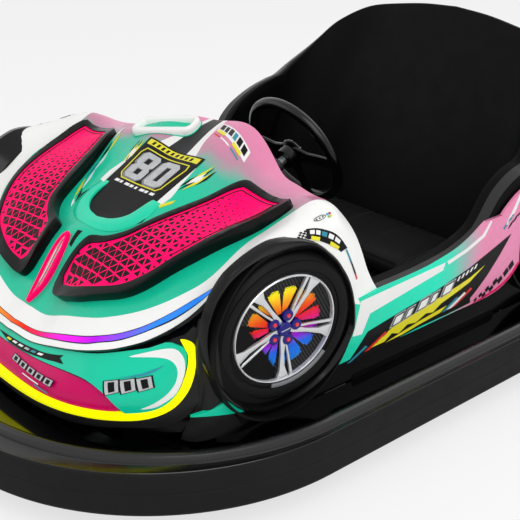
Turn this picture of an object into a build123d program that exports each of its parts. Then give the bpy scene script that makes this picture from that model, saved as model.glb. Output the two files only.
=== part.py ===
"""Two-seat battery bumper car: rubber bumper ring, plastic body, seat tub and rolling chassis.

Frame: millimetres, +Z up, nose towards -Y, the car's own left towards +X.
The origin is on the floor under the middle of the bumper ring.
"""
import os
from math import cos, radians, sin

from build123d import *

os.makedirs("parts", exist_ok=True)

# ---- driving dimensions -------------------------------------------------------------
LENGTH = 1950.0
WIDTH = 1150.0
HALF = WIDTH / 2
NOSE_Y = -LENGTH / 2
TAIL_Y = LENGTH / 2

# bumper ring and the glossy deck inside it
BUMPER_BOTTOM, BUMPER_TOP = 60.0, 162.0
RIDGE_TOP = 182.0
REAR_CORNER_R = 400.0
BAND_SIDE, BAND_NOSE = 20.0, 42.0        # width of the flat band outside the ridge
RIDGE_WIDTH = 28.0
BUMPER_WALL = 60.0
DECK_TOP, DECK_THICK = 168.0, 6.0

# body shell
BODY_HALF = 503.0
BODY_WALL = 14.0
SKIRT_BOTTOM = 168.0                     # the body stands on the deck
COWL_Y = -215.0                          # rear end of the bonnet
NOSE_SPLIT_Y = -560.0                    # fascia ahead of it, fenders behind
FENDER_X = 404.0                         # bonnet and fender meet here
SILL_END_Y = 235.0                       # sills end and the rear body starts

# dummy wheels in the flanks
FLANK_Y = (-445.0, 470.0)
FLANK_Z = 385.0
ARCH_R = 196.0
FLANK_TYRE_R, FLANK_RIM_R = 176.0, 128.0
FLANK_FACE_X = 494.0                     # outer face of the flank tyres
FLANK_DEPTH = 32.0
LINER_X = 453.0                          # arch liners sit between here and the fender's outer face
FLARE_WIDTH, FLARE_THICK = 50.0, 18.0

# seat tub
TUB_HALF = 450.0
TUB_WALL = 20.0
LIP_HALF, LIP_THICK = 488.0, 22.0        # the rim is rolled outwards to here
TUB_FRONT_Y = -215.0
TUB_BOTTOM = 134.0
BACK_LOW_Y, BACK_HIGH_Y = 376.0, 628.0   # outer face of the back at its foot and at its top
BACK_TOP = 832.0
SEAT_FRONT_Y, SEAT_TOP = 96.0, 246.0
CUSHION_THICK = 62.0

# running gear
FRAME_LOW, FRAME_TUBE = 104.0, 26.0
FLOOR_THICK = 4.0
DRIVE_Y = -520.0
DRIVE_R, DRIVE_WIDTH = 100.0, 52.0
REAR_AXLE_Y, REAR_R, REAR_WIDTH = 590.0, 80.0, 46.0
REAR_WHEEL_X = 372.0
STEM_R = 24.0
AXLE_R = 10.0
RUN_FIT = 0.06                           # radial clearance of shafts that turn

# steering wheel
HUB = (0.0, 22.0, 547.0)
COLUMN_TILT = 24.0
RIM_R, RIM_TUBE = 141.0, 14.0
SHAFT_R = 11.0


def publish(part, name):
    """Label a finished piece and write its STEP file."""
    part.label = name
    export_step(part, f"parts/{name}.step")


def ring_face(inset, nose_inset=None, tail_inset=None):
    """Plan of the bumper, drawn in from its outer face: round nose, straight sides, round rear corners."""
    nose_inset = inset if nose_inset is None else nose_inset
    tail_inset = inset if tail_inset is None else tail_inset
    half = HALF - inset
    side_front = NOSE_Y + nose_inset + half
    corner = REAR_CORNER_R - inset
    tail = TAIL_Y - tail_inset
    diagonal = corner * (1 - cos(radians(45)))
    with BuildSketch() as plan:
        with BuildLine():
            ThreePointArc((half, side_front), (0, NOSE_Y + nose_inset), (-half, side_front))
            Line((-half, side_front), (-half, tail - corner))
            ThreePointArc((-half, tail - corner), (diagonal - half, tail - diagonal), (corner - half, tail))
            Line((corner - half, tail), (half - corner, tail))
            ThreePointArc((half - corner, tail), (half - diagonal, tail - diagonal), (half, tail - corner))
            Line((half, tail - corner), (half, side_front))
        make_face()
    return plan.sketch


def front_face(half, nose_y, bow, corner, shrink=0.0, overrun=0.0):
    """Plan of the front body at one height: bowed nose, round corners, open at the cowl."""
    half -= shrink
    nose_y += shrink
    corner -= shrink
    cowl_y = COWL_Y + overrun
    turn_x, turn_y = half - corner, nose_y + bow
    diagonal = corner * sin(radians(45))
    with BuildSketch() as plan:
        with BuildLine():
            ThreePointArc((-turn_x, turn_y), (0, nose_y), (turn_x, turn_y))
            ThreePointArc((turn_x, turn_y), (turn_x + diagonal, turn_y + corner - diagonal),
                          (half, turn_y + corner))
            Line((half, turn_y + corner), (half, cowl_y))
            Line((half, cowl_y), (-half, cowl_y))
            Line((-half, cowl_y), (-half, turn_y + corner))
            ThreePointArc((-half, turn_y + corner), (-turn_x - diagonal, turn_y + corner - diagonal),
                          (-turn_x, turn_y))
        make_face()
    return plan.sketch


def rear_face(half, tail_y, corner, shrink=0.0, overrun=0.0, front_y=SILL_END_Y):
    """Plan of the rear body or the tub at one height: straight sides, round rear corners."""
    front_y -= overrun
    half -= shrink
    tail_y -= shrink
    corner -= shrink
    diagonal = corner * (1 - cos(radians(45)))
    with BuildSketch() as plan:
        with BuildLine():
            Line((-half, front_y), (-half, tail_y - corner))
            ThreePointArc((-half, tail_y - corner), (diagonal - half, tail_y - diagonal),
                          (corner - half, tail_y))
            Line((corner - half, tail_y), (half - corner, tail_y))
            ThreePointArc((half - corner, tail_y), (half - diagonal, tail_y - diagonal),
                          (half, tail_y - corner))
            Line((half, tail_y - corner), (half, front_y))
            Line((half, front_y), (-half, front_y))
        make_face()
    return plan.sketch


def slab(low, high):
    """A plain block between two opposite corners."""
    size = [b - a for a, b in zip(low, high)]
    centre = [(a + b) / 2 for a, b in zip(low, high)]
    return Pos(*centre) * Box(*size, mode=Mode.PRIVATE)


def side_prism(points, half_width):
    """A closed side view (y, z) pushed out to both sides of the middle plane."""
    with BuildPart() as prism:
        with BuildSketch(Plane.YZ):
            with BuildLine():
                Polyline(*points, close=True)
            make_face()
        extrude(amount=half_width, both=True)
    return prism.part


def cross_disc(x, y, z, radius, thickness):
    """A disc or drum whose axis lies across the car."""
    return Pos(x, y, z) * Rot(0, 90, 0) * Cylinder(radius, thickness, mode=Mode.PRIVATE)


def cross_ring(x, y, z, radius, bore, thickness):
    """A ring whose axis lies across the car."""
    return cross_disc(x, y, z, radius, thickness) - cross_disc(x, y, z, bore, thickness + 2)


# ---- bumper ring and deck -----------------------------------------------------------
with BuildPart() as bumper_ring:
    with BuildSketch(Plane.XY.offset(BUMPER_BOTTOM)):
        add(ring_face(0))
        add(ring_face(BUMPER_WALL), mode=Mode.SUBTRACT)
    extrude(amount=BUMPER_TOP - BUMPER_BOTTOM)
    with BuildSketch(Plane.XY.offset(BUMPER_TOP)):
        add(ring_face(BAND_SIDE, BAND_NOSE))
        add(ring_face(BAND_SIDE + RIDGE_WIDTH, BAND_NOSE + RIDGE_WIDTH), mode=Mode.SUBTRACT)
    extrude(amount=RIDGE_TOP - BUMPER_TOP)
    fillet(bumper_ring.faces().sort_by(Axis.Z)[-1].edges(), 9)
publish(bumper_ring.part, "bumper_ring")

DECK_INSET = BAND_SIDE + RIDGE_WIDTH
DECK_NOSE_INSET = BAND_NOSE + RIDGE_WIDTH
DECK_OPENING = (HALF - 452, 200, 190)    # inset at the sides, the nose and the tail
with BuildPart() as bumper_deck:
    with BuildSketch(Plane.XY.offset(BUMPER_TOP)):
        add(ring_face(DECK_INSET, DECK_NOSE_INSET))
        add(ring_face(*DECK_OPENING), mode=Mode.SUBTRACT)
    extrude(amount=DECK_THICK)
publish(bumper_deck.part, "bumper_deck")

# ---- front body ---------------------------------------------------------------------
# one row for each height: z, half width, y of the nose, bow of the nose, corner radius
FRONT_LEVELS = (
    (SKIRT_BOTTOM, 462, -795, 35, 280),
    (215, 474, -825, 35, 280),
    (320, 498, -838, 40, 270),
    (400, BODY_HALF, -738, 25, 200),
    (510, 500, -643, 50, 130),
    (550, 494, -540, 12, 100),
    (600, 478, -400, 10, 80),
    (636, 430, -335, 8, 60),
    (656, 380, -250, 8, 24),
)


def ruled_body(levels, face, shrink=0.0, overrun=0.0):
    """Solid through one plan per height; overrun carries its open end past the outer one's."""
    with BuildPart() as body:
        for z, *plan in levels:
            with BuildSketch(Plane.XY.offset(z)):
                add(face(*plan, shrink=shrink, overrun=overrun))
        loft(ruled=True)
    return body.part


def both_flanks(make, y):
    """The same flank shape on the car's left and right."""
    return make(1, y) + make(-1, y)


def arch_space(side, y):
    """Round space behind one dummy wheel, open to the side."""
    return cross_disc(side * (LINER_X + 60), y, FLANK_Z, ARCH_R, 2 * 60 + 1)


def front_envelope():
    """Everything inside the plan of the front body at its widest."""
    with BuildPart() as envelope:
        with BuildSketch(Plane.XY.offset(SKIRT_BOTTOM)):
            add(front_face(BODY_HALF, -738, 25, 200))
        extrude(amount=500)
    return envelope.part


def arch_flare(side, y):
    """Raised lip of the fender that follows the arch."""
    x = side * (LINER_X + FLARE_WIDTH / 2)
    return cross_ring(x, y, FLANK_Z, ARCH_R + FLARE_THICK, ARCH_R, FLARE_WIDTH)


front_outer = ruled_body(FRONT_LEVELS, front_face)
front_hollow = ruled_body(FRONT_LEVELS, front_face, BODY_WALL, 30).moved(Pos(0, 0, -BODY_WALL))
front_arches = both_flanks(arch_space, FLANK_Y[0])
# front views (x, z) of the seams, one side: fascia below the light band, bonnet above it
BAND_FOOT = ((0, 310), (250, 350), (330, 382), (390, 440), (460, 512), (600, 600))
BAND_HEAD = ((0, 380), (250, 420), (330, 460), (390, 522), (440, 566), (600, 690))


def front_prism(points):
    """A closed front view (x, z) and its mirror image, pushed from the nose back to the fender seam."""
    with BuildPart() as prism:
        with BuildSketch(Plane.XZ.offset(900)):
            with BuildLine():
                Polyline(*points, close=True)
            make_face()
            mirror(about=Plane.YZ)
        extrude(amount=-(900 + NOSE_SPLIT_Y))
    return prism.part


nose_block = front_prism((*BAND_FOOT, (600, 100), (0, 100)))
band_block = front_prism((*BAND_FOOT, *reversed(BAND_HEAD)))
front_head_block = front_prism((*BAND_HEAD, (600, 760), (0, 760)))
bonnet_block = slab((-FENDER_X, NOSE_SPLIT_Y, 360), (FENDER_X, COWL_Y + 2, 720)) + front_head_block
fender_block = slab((FENDER_X, NOSE_SPLIT_Y, SKIRT_BOTTOM), (600, COWL_Y + 2, 720))


def front_panel(block):
    """The part of the front body's shell that lies inside a block, cut out at the arches."""
    return (front_outer & block) - front_hollow - front_arches


publish(front_panel(nose_block), "nose_fascia")
publish(front_panel(band_block), "light_band")
publish(front_panel(bonnet_block), "bonnet")

flare = arch_flare(1, FLANK_Y[0]) & front_envelope() & fender_block
front_fender_left = front_panel(fender_block) + flare - front_arches
publish(front_fender_left, "front_fender_left")
publish(mirror(front_fender_left, about=Plane.YZ), "front_fender_right")

# ---- arch liners and dummy flank wheels ---------------------------------------------
LINER_WALL = 5.0
LINER_DEPTH = 36.0


def arch_liner(side, y):
    """Black dish that closes one arch behind its dummy wheel."""
    floor_x = side * (LINER_X + LINER_WALL / 2)
    dish = cross_disc(floor_x, y, FLANK_Z, ARCH_R - 1, LINER_WALL)
    rim_x = side * (LINER_X + LINER_DEPTH / 2)
    rim = cross_ring(rim_x, y, FLANK_Z, ARCH_R - 1, ARCH_R - 1 - LINER_WALL, LINER_DEPTH)
    return dish + rim


def flank_tyre(side, y):
    """Fixed tyre ring of one dummy wheel."""
    x = side * (FLANK_FACE_X - FLANK_DEPTH / 2)
    return cross_ring(x, y, FLANK_Z, FLANK_TYRE_R, FLANK_RIM_R + 1, FLANK_DEPTH)


def flank_rim(side, y):
    """Fixed rim of one dummy wheel: a face plate with a boss that reaches back to the liner."""
    back = LINER_X + LINER_WALL
    front = FLANK_FACE_X - 8
    return cross_disc(side * (back + front) / 2, y, FLANK_Z, FLANK_RIM_R + 1, front - back)


def all_flanks(make):
    """The same piece at all four arches."""
    return both_flanks(make, FLANK_Y[0]) + both_flanks(make, FLANK_Y[1])


publish(all_flanks(arch_liner), "arch_liners")
publish(all_flanks(flank_tyre), "flank_tyres")
publish(all_flanks(flank_rim), "flank_rims")

# ---- rear body ----------------------------------------------------------------------
# one row for each height: z, half width, y of the tail, corner radius
REAR_LEVELS = (
    (SKIRT_BOTTOM, 464, 805, 230),
    (225, 474, 835, 240),
    (340, 502, 850, 250),
    (450, BODY_HALF, 800, 250),
    (600, 500, 700, 240),
    (720, 492, 604, 230),
)
REAR_BODY_TOP = ((SILL_END_Y - 10, 180), (SILL_END_Y - 10, 500), (300, 560), (440, 580), (540, 640),
                 (610, 700), (870, 716), (870, 180))

rear_outer = ruled_body(REAR_LEVELS, rear_face)
rear_hollow = ruled_body(REAR_LEVELS, rear_face, BODY_WALL, 30)
rear_shell = (rear_outer & side_prism(REAR_BODY_TOP, 600)) - rear_hollow
rear_arches = both_flanks(arch_space, FLANK_Y[1])
publish(rear_shell - rear_arches + both_flanks(arch_flare, FLANK_Y[1]), "rear_body")

# ---- sills --------------------------------------------------------------------------
SILL_TOP = ((COWL_Y, 374), (60, 378), (130, 402), (SILL_END_Y, 500))
SILL_FOOT = SKIRT_BOTTOM
SILL_X = BODY_HALF - 6
SILL_SECTION = ((464, SILL_FOOT), (466, 225), (SILL_X, 375), (SILL_X, 520),
                (LIP_HALF + 1, 520), (LIP_HALF + 1, 378), (453, 225), (453, SILL_FOOT))

with BuildPart() as sill_left:
    with BuildSketch(Plane.XZ.offset(-COWL_Y)):
        with BuildLine():
            Polyline(*SILL_SECTION, close=True)
        make_face()
    extrude(amount=COWL_Y - SILL_END_Y)
    add(side_prism((*SILL_TOP, (SILL_END_Y, SILL_FOOT), (COWL_Y, SILL_FOOT)), 600), mode=Mode.INTERSECT)
publish(sill_left.part, "sill_left")
publish(mirror(sill_left.part, about=Plane.YZ), "sill_right")

# ---- seat tub -----------------------------------------------------------------------
TUB_FOOT_CORNER, TUB_TOP_CORNER = 110.0, 230.0
TUB_LEVELS = (
    (TUB_BOTTOM, TUB_HALF, BACK_LOW_Y, TUB_FOOT_CORNER),
    (BACK_TOP, TUB_HALF, BACK_HIGH_Y, TUB_TOP_CORNER),
)
# side view of the rim: low beside the doors' place, a shoulder, then up over the back
TUB_RIM = ((TUB_FRONT_Y, 404), (40, 408), (120, 424), (172, 462), (214, 546), (262, 592), (320, 608),
           (430, 622), (500, 654), (560, 706), (600, 770), (640, BACK_TOP + 2), (700, BACK_TOP + 2))
TUB_BLOCK = (*TUB_RIM, (700, 100), (TUB_FRONT_Y, 100))


def tub_face(half, tail_y, corner, shrink=0.0, overrun=0.0):
    """Plan of the tub at one height."""
    return rear_face(half, tail_y, corner, shrink, overrun, TUB_FRONT_Y)


LIP_GROWTH = TUB_HALF - LIP_HALF         # negative: the lip stands outside the wall
tub_outer = ruled_body(TUB_LEVELS, tub_face)
tub_inner = ruled_body(TUB_LEVELS, tub_face, TUB_WALL, 30)
rim_block = side_prism(TUB_BLOCK, 600)
lip_block = rim_block - rim_block.moved(Pos(0, 0, -LIP_THICK))
with BuildPart() as seat_tub:
    add(ruled_body(TUB_LEVELS, tub_face, LIP_GROWTH) & lip_block)
    add(tub_outer & rim_block)
    add(tub_inner, mode=Mode.SUBTRACT)
publish(seat_tub.part, "seat_tub")

# ---- bench --------------------------------------------------------------------------
BENCH_HALF = TUB_HALF - TUB_WALL - 1
BENCH_BACK_Y = 364.0
BENCH_WALL = 10.0

with BuildPart() as seat_base:
    with BuildSketch(Plane.YZ):
        with BuildLine():
            Polyline((SEAT_FRONT_Y, TUB_BOTTOM), (SEAT_FRONT_Y, SEAT_TOP), (BENCH_BACK_Y, SEAT_TOP),
                     (BENCH_BACK_Y, SEAT_TOP - BENCH_WALL),
                     (SEAT_FRONT_Y + BENCH_WALL, SEAT_TOP - BENCH_WALL),
                     (SEAT_FRONT_Y + BENCH_WALL, TUB_BOTTOM), close=True)
        make_face()
    extrude(amount=BENCH_HALF, both=True)
    add(ruled_body(TUB_LEVELS, tub_face, TUB_WALL + 1), mode=Mode.INTERSECT)
publish(seat_base.part, "seat_base")

with BuildPart() as seat_cushion:
    with BuildSketch(Plane.XY.offset(SEAT_TOP)):
        with Locations((0, (SEAT_FRONT_Y + BENCH_BACK_Y) / 2 + 2)):
            RectangleRounded(2 * BENCH_HALF - 8, BENCH_BACK_Y - SEAT_FRONT_Y - 8, 40)
    extrude(amount=CUSHION_THICK)
    fillet(seat_cushion.faces().sort_by(Axis.Z)[-1].edges(), 18)
    add(ruled_body(TUB_LEVELS, tub_face, TUB_WALL + 4), mode=Mode.INTERSECT)
publish(seat_cushion.part, "seat_cushion")

# small slotted clip for the belt, on the left wall of the tub
CLIP_AT = (170, 372)
CLIP_DEPTH = 13.0
CLIP_SLOT_PITCH = 16.0
with BuildPart() as belt_clip:
    with BuildSketch(Plane.YZ.offset(TUB_HALF - TUB_WALL - CLIP_DEPTH)):
        with Locations(CLIP_AT):
            Rectangle(50, 40)
            with GridLocations(0, CLIP_SLOT_PITCH, 1, 2):
                Rectangle(30, 8, mode=Mode.SUBTRACT)
    extrude(amount=CLIP_DEPTH)
publish(belt_clip.part, "belt_clip")

# ---- bonnet lights and trim ---------------------------------------------------------
LAMP_RAISE, LAMP_GLASS_RAISE = 12.0, 6.0
LAMP_FRAME = 18.0


def lamp_plan(inset):
    """Plan of the left bonnet lamp: straight along the middle and the rear, bowed outside."""
    with BuildSketch() as plan:
        with BuildLine():
            Line((62, -722), (52, -634))
            Line((52, -634), (236, -352))
            Line((236, -352), (392, -334))
            ThreePointArc((392, -334), (372, -545), (200, -712))
            Line((200, -712), (62, -722))
        make_face()
        if inset:
            offset(amount=-inset, mode=Mode.REPLACE)
    return plan.sketch


def over_bonnet(plan, raise_by):
    """Solid that stands on the front body and rises a little above it, inside a plan."""
    with BuildPart() as column:
        with BuildSketch(Plane.XY.offset(300)):
            add(plan)
        extrude(amount=420)
    return (column.part & front_outer.moved(Pos(0, 0, raise_by))) - front_outer


def left_and_right(piece):
    """A piece and its mirror image in one node."""
    return piece + mirror(piece, about=Plane.YZ)


lamp_frame = over_bonnet(lamp_plan(0) - lamp_plan(LAMP_FRAME), LAMP_RAISE)
lamp_glass = over_bonnet(lamp_plan(LAMP_FRAME + 1), LAMP_GLASS_RAISE)
publish(left_and_right(lamp_frame), "lamp_frames")
publish(left_and_right(lamp_glass), "lamp_glasses")

with BuildSketch() as leaf:
    with BuildLine():
        ThreePointArc((0, -752), (13, -700), (0, -640))
        ThreePointArc((0, -640), (-13, -700), (0, -752))
    make_face()
publish(over_bonnet(leaf.sketch, 9), "nose_lamp")

TRAY_AT = (-125.0, -284.0)
TRAY_SIZE, TRAY_OPENING = (164.0, 88.0), (122.0, 46.0)
TRAY_RAISE = 26.0
with BuildSketch() as tray_plan:
    with Locations(TRAY_AT):
        SlotOverall(*TRAY_SIZE)
        SlotOverall(*TRAY_OPENING, mode=Mode.SUBTRACT)
publish(over_bonnet(tray_plan.sketch, TRAY_RAISE), "bonnet_tray")

# yellow light round the foot of the fascia, turned up at both ends
CHIN_LOW, CHIN_HIGH, CHIN_RAISE = 200.0, 213.0, 5.0
grown_front = ruled_body(FRONT_LEVELS, front_face, -CHIN_RAISE)
chin_zone = slab((-600, -900, CHIN_LOW), (600, -640, CHIN_HIGH))
for side in (1, -1):
    chin_end_x = sorted((side * 420, side * 600))
    chin_zone += slab((chin_end_x[0], -654, CHIN_LOW), (chin_end_x[1], -640, 380))
publish((grown_front & chin_zone) - front_outer, "chin_light")

# ---- chassis ------------------------------------------------------------------------
RAIL_X = 310.0
CROSS_Y = (-715.0, -310.0, 60.0, 440.0, 740.0)
HOOP_LOW, HOOP_HIGH = 76.0, 156.0
HOOP_INSET = (BUMPER_WALL, BUMPER_WALL + 6)

with BuildPart() as bumper_hoop:
    with BuildSketch(Plane.XY.offset(HOOP_LOW)):
        add(ring_face(HOOP_INSET[0]))
        add(ring_face(HOOP_INSET[1]), mode=Mode.SUBTRACT)
    extrude(amount=HOOP_HIGH - HOOP_LOW)
publish(bumper_hoop.part, "bumper_hoop")

with BuildPart() as chassis_frame:
    with BuildSketch(Plane.XY.offset(FRAME_LOW)):
        with Locations(*[(0, y) for y in CROSS_Y]):
            Rectangle(1200, FRAME_TUBE)
        with Locations((-RAIL_X, (CROSS_Y[0] + CROSS_Y[-1]) / 2), (RAIL_X, (CROSS_Y[0] + CROSS_Y[-1]) / 2)):
            Rectangle(FRAME_TUBE, CROSS_Y[-1] - CROSS_Y[0])
        add(ring_face(HOOP_INSET[1]), mode=Mode.INTERSECT)
    extrude(amount=FRAME_TUBE)
publish(chassis_frame.part, "chassis_frame")

FLOOR_Z = FRAME_LOW + FRAME_TUBE
BULKHEAD_Y, BULKHEAD_TOP = -300.0, 372.0
MAT_X, MAT_Y, MAT_SIZE, MAT_THICK = 225.0, -38.0, (340.0, 200.0), 3.0
with BuildPart() as floor_pan:
    with BuildSketch(Plane.YZ):
        with BuildLine():
            Polyline((BULKHEAD_Y, BULKHEAD_TOP), (BULKHEAD_Y, FLOOR_Z), (BACK_LOW_Y, FLOOR_Z),
                     (BACK_LOW_Y, FLOOR_Z + FLOOR_THICK), (BULKHEAD_Y + FLOOR_THICK, FLOOR_Z + FLOOR_THICK),
                     (BULKHEAD_Y + FLOOR_THICK, BULKHEAD_TOP), close=True)
        make_face()
    extrude(amount=TUB_HALF - 2, both=True)
    with BuildSketch(Plane.XY.offset(FLOOR_Z + FLOOR_THICK)):
        with Locations((-MAT_X, MAT_Y), (MAT_X, MAT_Y)):
            RectangleRounded(*MAT_SIZE, 20)
    extrude(amount=MAT_THICK)
publish(floor_pan.part, "floor_pan")

publish(slab((-215, 128, FLOOR_Z + FLOOR_THICK), (215, 340, 228)), "battery_box")

# ---- drive unit ---------------------------------------------------------------------
BRIDGE_LOW, BRIDGE_THICK, BOSS_TOP = 262.0, 10.0, 312.0
CROWN_LOW, CROWN_HIGH = 210.0, 224.0
CHEEK_X, CHEEK_THICK, CHEEK_LOW = 36.0, 8.0, 74.0
STEM_TOP = 332.0
GEAR_TOP = 392.0

with BuildPart() as drive_bridge:
    with BuildSketch(Plane.XY.offset(BRIDGE_LOW)):
        with Locations((0, (CROSS_Y[0] + CROSS_Y[1]) / 2)):
            Rectangle(220, CROSS_Y[1] - CROSS_Y[0] + 12)
    extrude(amount=BRIDGE_THICK)
    with BuildSketch(Plane.XY.offset(FLOOR_Z)):
        with Locations((0, CROSS_Y[0]), (0, CROSS_Y[1])):
            Rectangle(220, 12)
    extrude(amount=BRIDGE_LOW - FLOOR_Z)
    with BuildSketch(Plane.XY.offset(BRIDGE_LOW)):
        with Locations((0, DRIVE_Y)):
            Circle(46)
    extrude(amount=BOSS_TOP - BRIDGE_LOW)
    with BuildSketch(Plane.XY.offset(BRIDGE_LOW)):
        with Locations((0, DRIVE_Y)):
            Circle(STEM_R + RUN_FIT)
    extrude(amount=BOSS_TOP - BRIDGE_LOW, mode=Mode.SUBTRACT)
publish(drive_bridge.part, "drive_bridge")

with BuildPart() as drive_fork:
    with BuildSketch(Plane.XY.offset(CROWN_LOW)):
        with Locations((0, DRIVE_Y)):
            RectangleRounded(2 * (CHEEK_X + CHEEK_THICK), 96, 8)
    extrude(amount=CROWN_HIGH - CROWN_LOW)
    with BuildSketch(Plane.XY.offset(CROWN_HIGH)):
        with Locations((0, DRIVE_Y)):
            Circle(STEM_R + 14)
    extrude(amount=BRIDGE_LOW - CROWN_HIGH - 1)
    with BuildSketch(Plane.XY.offset(CROWN_HIGH)):
        with Locations((0, DRIVE_Y)):
            Circle(STEM_R)
    extrude(amount=STEM_TOP - CROWN_HIGH)
    for side in (1, -1):
        cheek_x = side * (CHEEK_X + CHEEK_THICK / 2)
        add(slab((cheek_x - CHEEK_THICK / 2, DRIVE_Y - 32, CHEEK_LOW),
                 (cheek_x + CHEEK_THICK / 2, DRIVE_Y + 32, CROWN_LOW)))
    add(cross_disc(0, DRIVE_Y, DRIVE_R, AXLE_R, 2 * (CHEEK_X + CHEEK_THICK)))
publish(drive_fork.part, "drive_fork")

MOTOR_R, MOTOR_LENGTH = 44.0, 84.0
publish(cross_disc(CHEEK_X + CHEEK_THICK + MOTOR_LENGTH / 2, DRIVE_Y, DRIVE_R + 6, MOTOR_R, MOTOR_LENGTH),
        "drive_motor")


def rolling_wheel(name, x, y, radius, width, hub_radius, hub_width):
    """Tyre and hub of one wheel that turns on an axle across the car."""
    tyre = cross_ring(x, y, radius, radius, hub_radius, width)
    hub = cross_ring(x, y, radius, hub_radius, AXLE_R + RUN_FIT, hub_width)
    publish(fillet(tyre.edges().filter_by(GeomType.CIRCLE).group_by(SortBy.RADIUS)[-1], 6), f"{name}_tyre")
    publish(hub, f"{name}_hub")


rolling_wheel("drive", 0, DRIVE_Y, DRIVE_R, DRIVE_WIDTH, 62, 60)

# ---- rear axle and wheels -----------------------------------------------------------
AXLE_TUBE_R, AXLE_SHOULDER, AXLE_END = 16.0, 344.0, 404.0
with BuildPart() as rear_axle:
    add(cross_disc(0, REAR_AXLE_Y, REAR_R, AXLE_TUBE_R, 2 * AXLE_SHOULDER))
    add(cross_disc(0, REAR_AXLE_Y, REAR_R, AXLE_R, 2 * AXLE_END))
    for side in (1, -1):
        add(cross_disc(side * (AXLE_END - 3), REAR_AXLE_Y, REAR_R, 17, 6))
        add(slab((side * RAIL_X - 6, REAR_AXLE_Y - 30, REAR_R - 18),
                 (side * RAIL_X + 6, REAR_AXLE_Y + 30, FRAME_LOW)))
publish(rear_axle.part, "rear_axle")

for side, name in ((1, "left"), (-1, "right")):
    rolling_wheel(f"rear_{name}", side * REAR_WHEEL_X, REAR_AXLE_Y, REAR_R, REAR_WIDTH, 48, 50)

# ---- steering -----------------------------------------------------------------------
tilt = radians(COLUMN_TILT)
down = Vector(0, -cos(tilt), -sin(tilt))
hub_point = Vector(*HUB)
TUBE_START, TUBE_END, SHAFT_END = 62.0, 470.0, 500.0
TUBE_R = 19.0


def column_plane(distance):
    """Plane square to the column, this far down from the wheel's hub, facing the driver."""
    return Plane(origin=hub_point + down * distance, x_dir=(1, 0, 0), z_dir=-down)


with BuildPart() as steering_wheel:
    with BuildSketch(Plane(origin=hub_point, x_dir=(1, 0, 0), z_dir=Vector(1, 0, 0).cross(-down))):
        with Locations((RIM_R, 0)):
            Circle(RIM_TUBE)
    revolve(axis=Axis(hub_point, -down))
    with BuildSketch(column_plane(6)):
        Circle(36)
        with Locations((0, 0)):
            Rectangle(2 * RIM_R, 30)
        with Locations((0, RIM_R / 2)):
            Rectangle(28, RIM_R)
    extrude(amount=10)
    with BuildSketch(column_plane(42)):
        Circle(27)
    extrude(amount=36)
publish(steering_wheel.part, "steering_wheel")

with BuildPart() as steering_shaft:
    with BuildSketch(column_plane(SHAFT_END)):
        Circle(SHAFT_R)
    extrude(amount=SHAFT_END - 42)
publish(steering_shaft.part, "steering_shaft")

with BuildPart() as steering_column:
    with BuildSketch(column_plane(TUBE_END)):
        Circle(TUBE_R)
    extrude(amount=TUBE_END - TUBE_START)
    add(slab((-46, -209, 425), (46, -201, 560)))
    with BuildSketch(column_plane(TUBE_END + 5)):
        Circle(SHAFT_R + RUN_FIT)
    extrude(amount=TUBE_END, mode=Mode.SUBTRACT)
publish(steering_column.part, "steering_column")

with BuildPart() as steering_gear:
    add(slab((-52, DRIVE_Y - 52, BOSS_TOP), (52, DRIVE_Y + 100, GEAR_TOP)))
    with BuildSketch(Plane.XY.offset(BOSS_TOP)):
        with Locations((0, DRIVE_Y)):
            Circle(STEM_R + 1)
    extrude(amount=STEM_TOP - BOSS_TOP + 2, mode=Mode.SUBTRACT)
    with BuildSketch(column_plane(SHAFT_END + 2)):
        Circle(SHAFT_R + 1)
    extrude(amount=200, mode=Mode.SUBTRACT)
    with BuildSketch(column_plane(TUBE_END)):
        Circle(TUBE_R)
    extrude(amount=200, mode=Mode.SUBTRACT)
publish(steering_gear.part, "steering_gear")

# ---- dash and pedal -----------------------------------------------------------------
with BuildPart() as dash_panel:
    with BuildSketch(Plane.XZ.offset(-COWL_Y)):
        with BuildLine():
            Polyline((-440, 470), (-440, 572), (-300, 634), (300, 634), (440, 572), (440, 470), close=True)
        make_face()
    extrude(amount=-6)
publish(dash_panel.part, "dash_panel")

with BuildPart() as drive_pedal:
    with BuildSketch(Plane.YZ.offset(150)):
        with BuildLine():
            Polyline((-150, FLOOR_Z + FLOOR_THICK), (-262, 226), (-268, 219), (-170, FLOOR_Z + FLOOR_THICK),
                     close=True)
        make_face()
    extrude(amount=84)
publish(drive_pedal.part, "drive_pedal")

# ---- tail lamps ---------------------------------------------------------------------
rear_grown = ruled_body(REAR_LEVELS, rear_face, -6)
tail_lamp = (rear_grown & slab((250, 700, 392), (400, 900, 430))) - rear_outer
publish(left_and_right(tail_lamp), "tail_lamps")
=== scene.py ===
"""Bumper car for two riders: every visible piece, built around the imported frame.

The nose points towards -Y, the car's own left is +X and the floor is Z = 0, all in metres.
"""
import logging
import math
from dataclasses import dataclass, field
from enum import Enum
from typing import Callable, Iterable, Sequence

import bmesh
import bpy
import numpy as np
from mathutils import Matrix, Vector
from mathutils.geometry import delaunay_2d_cdt


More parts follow.
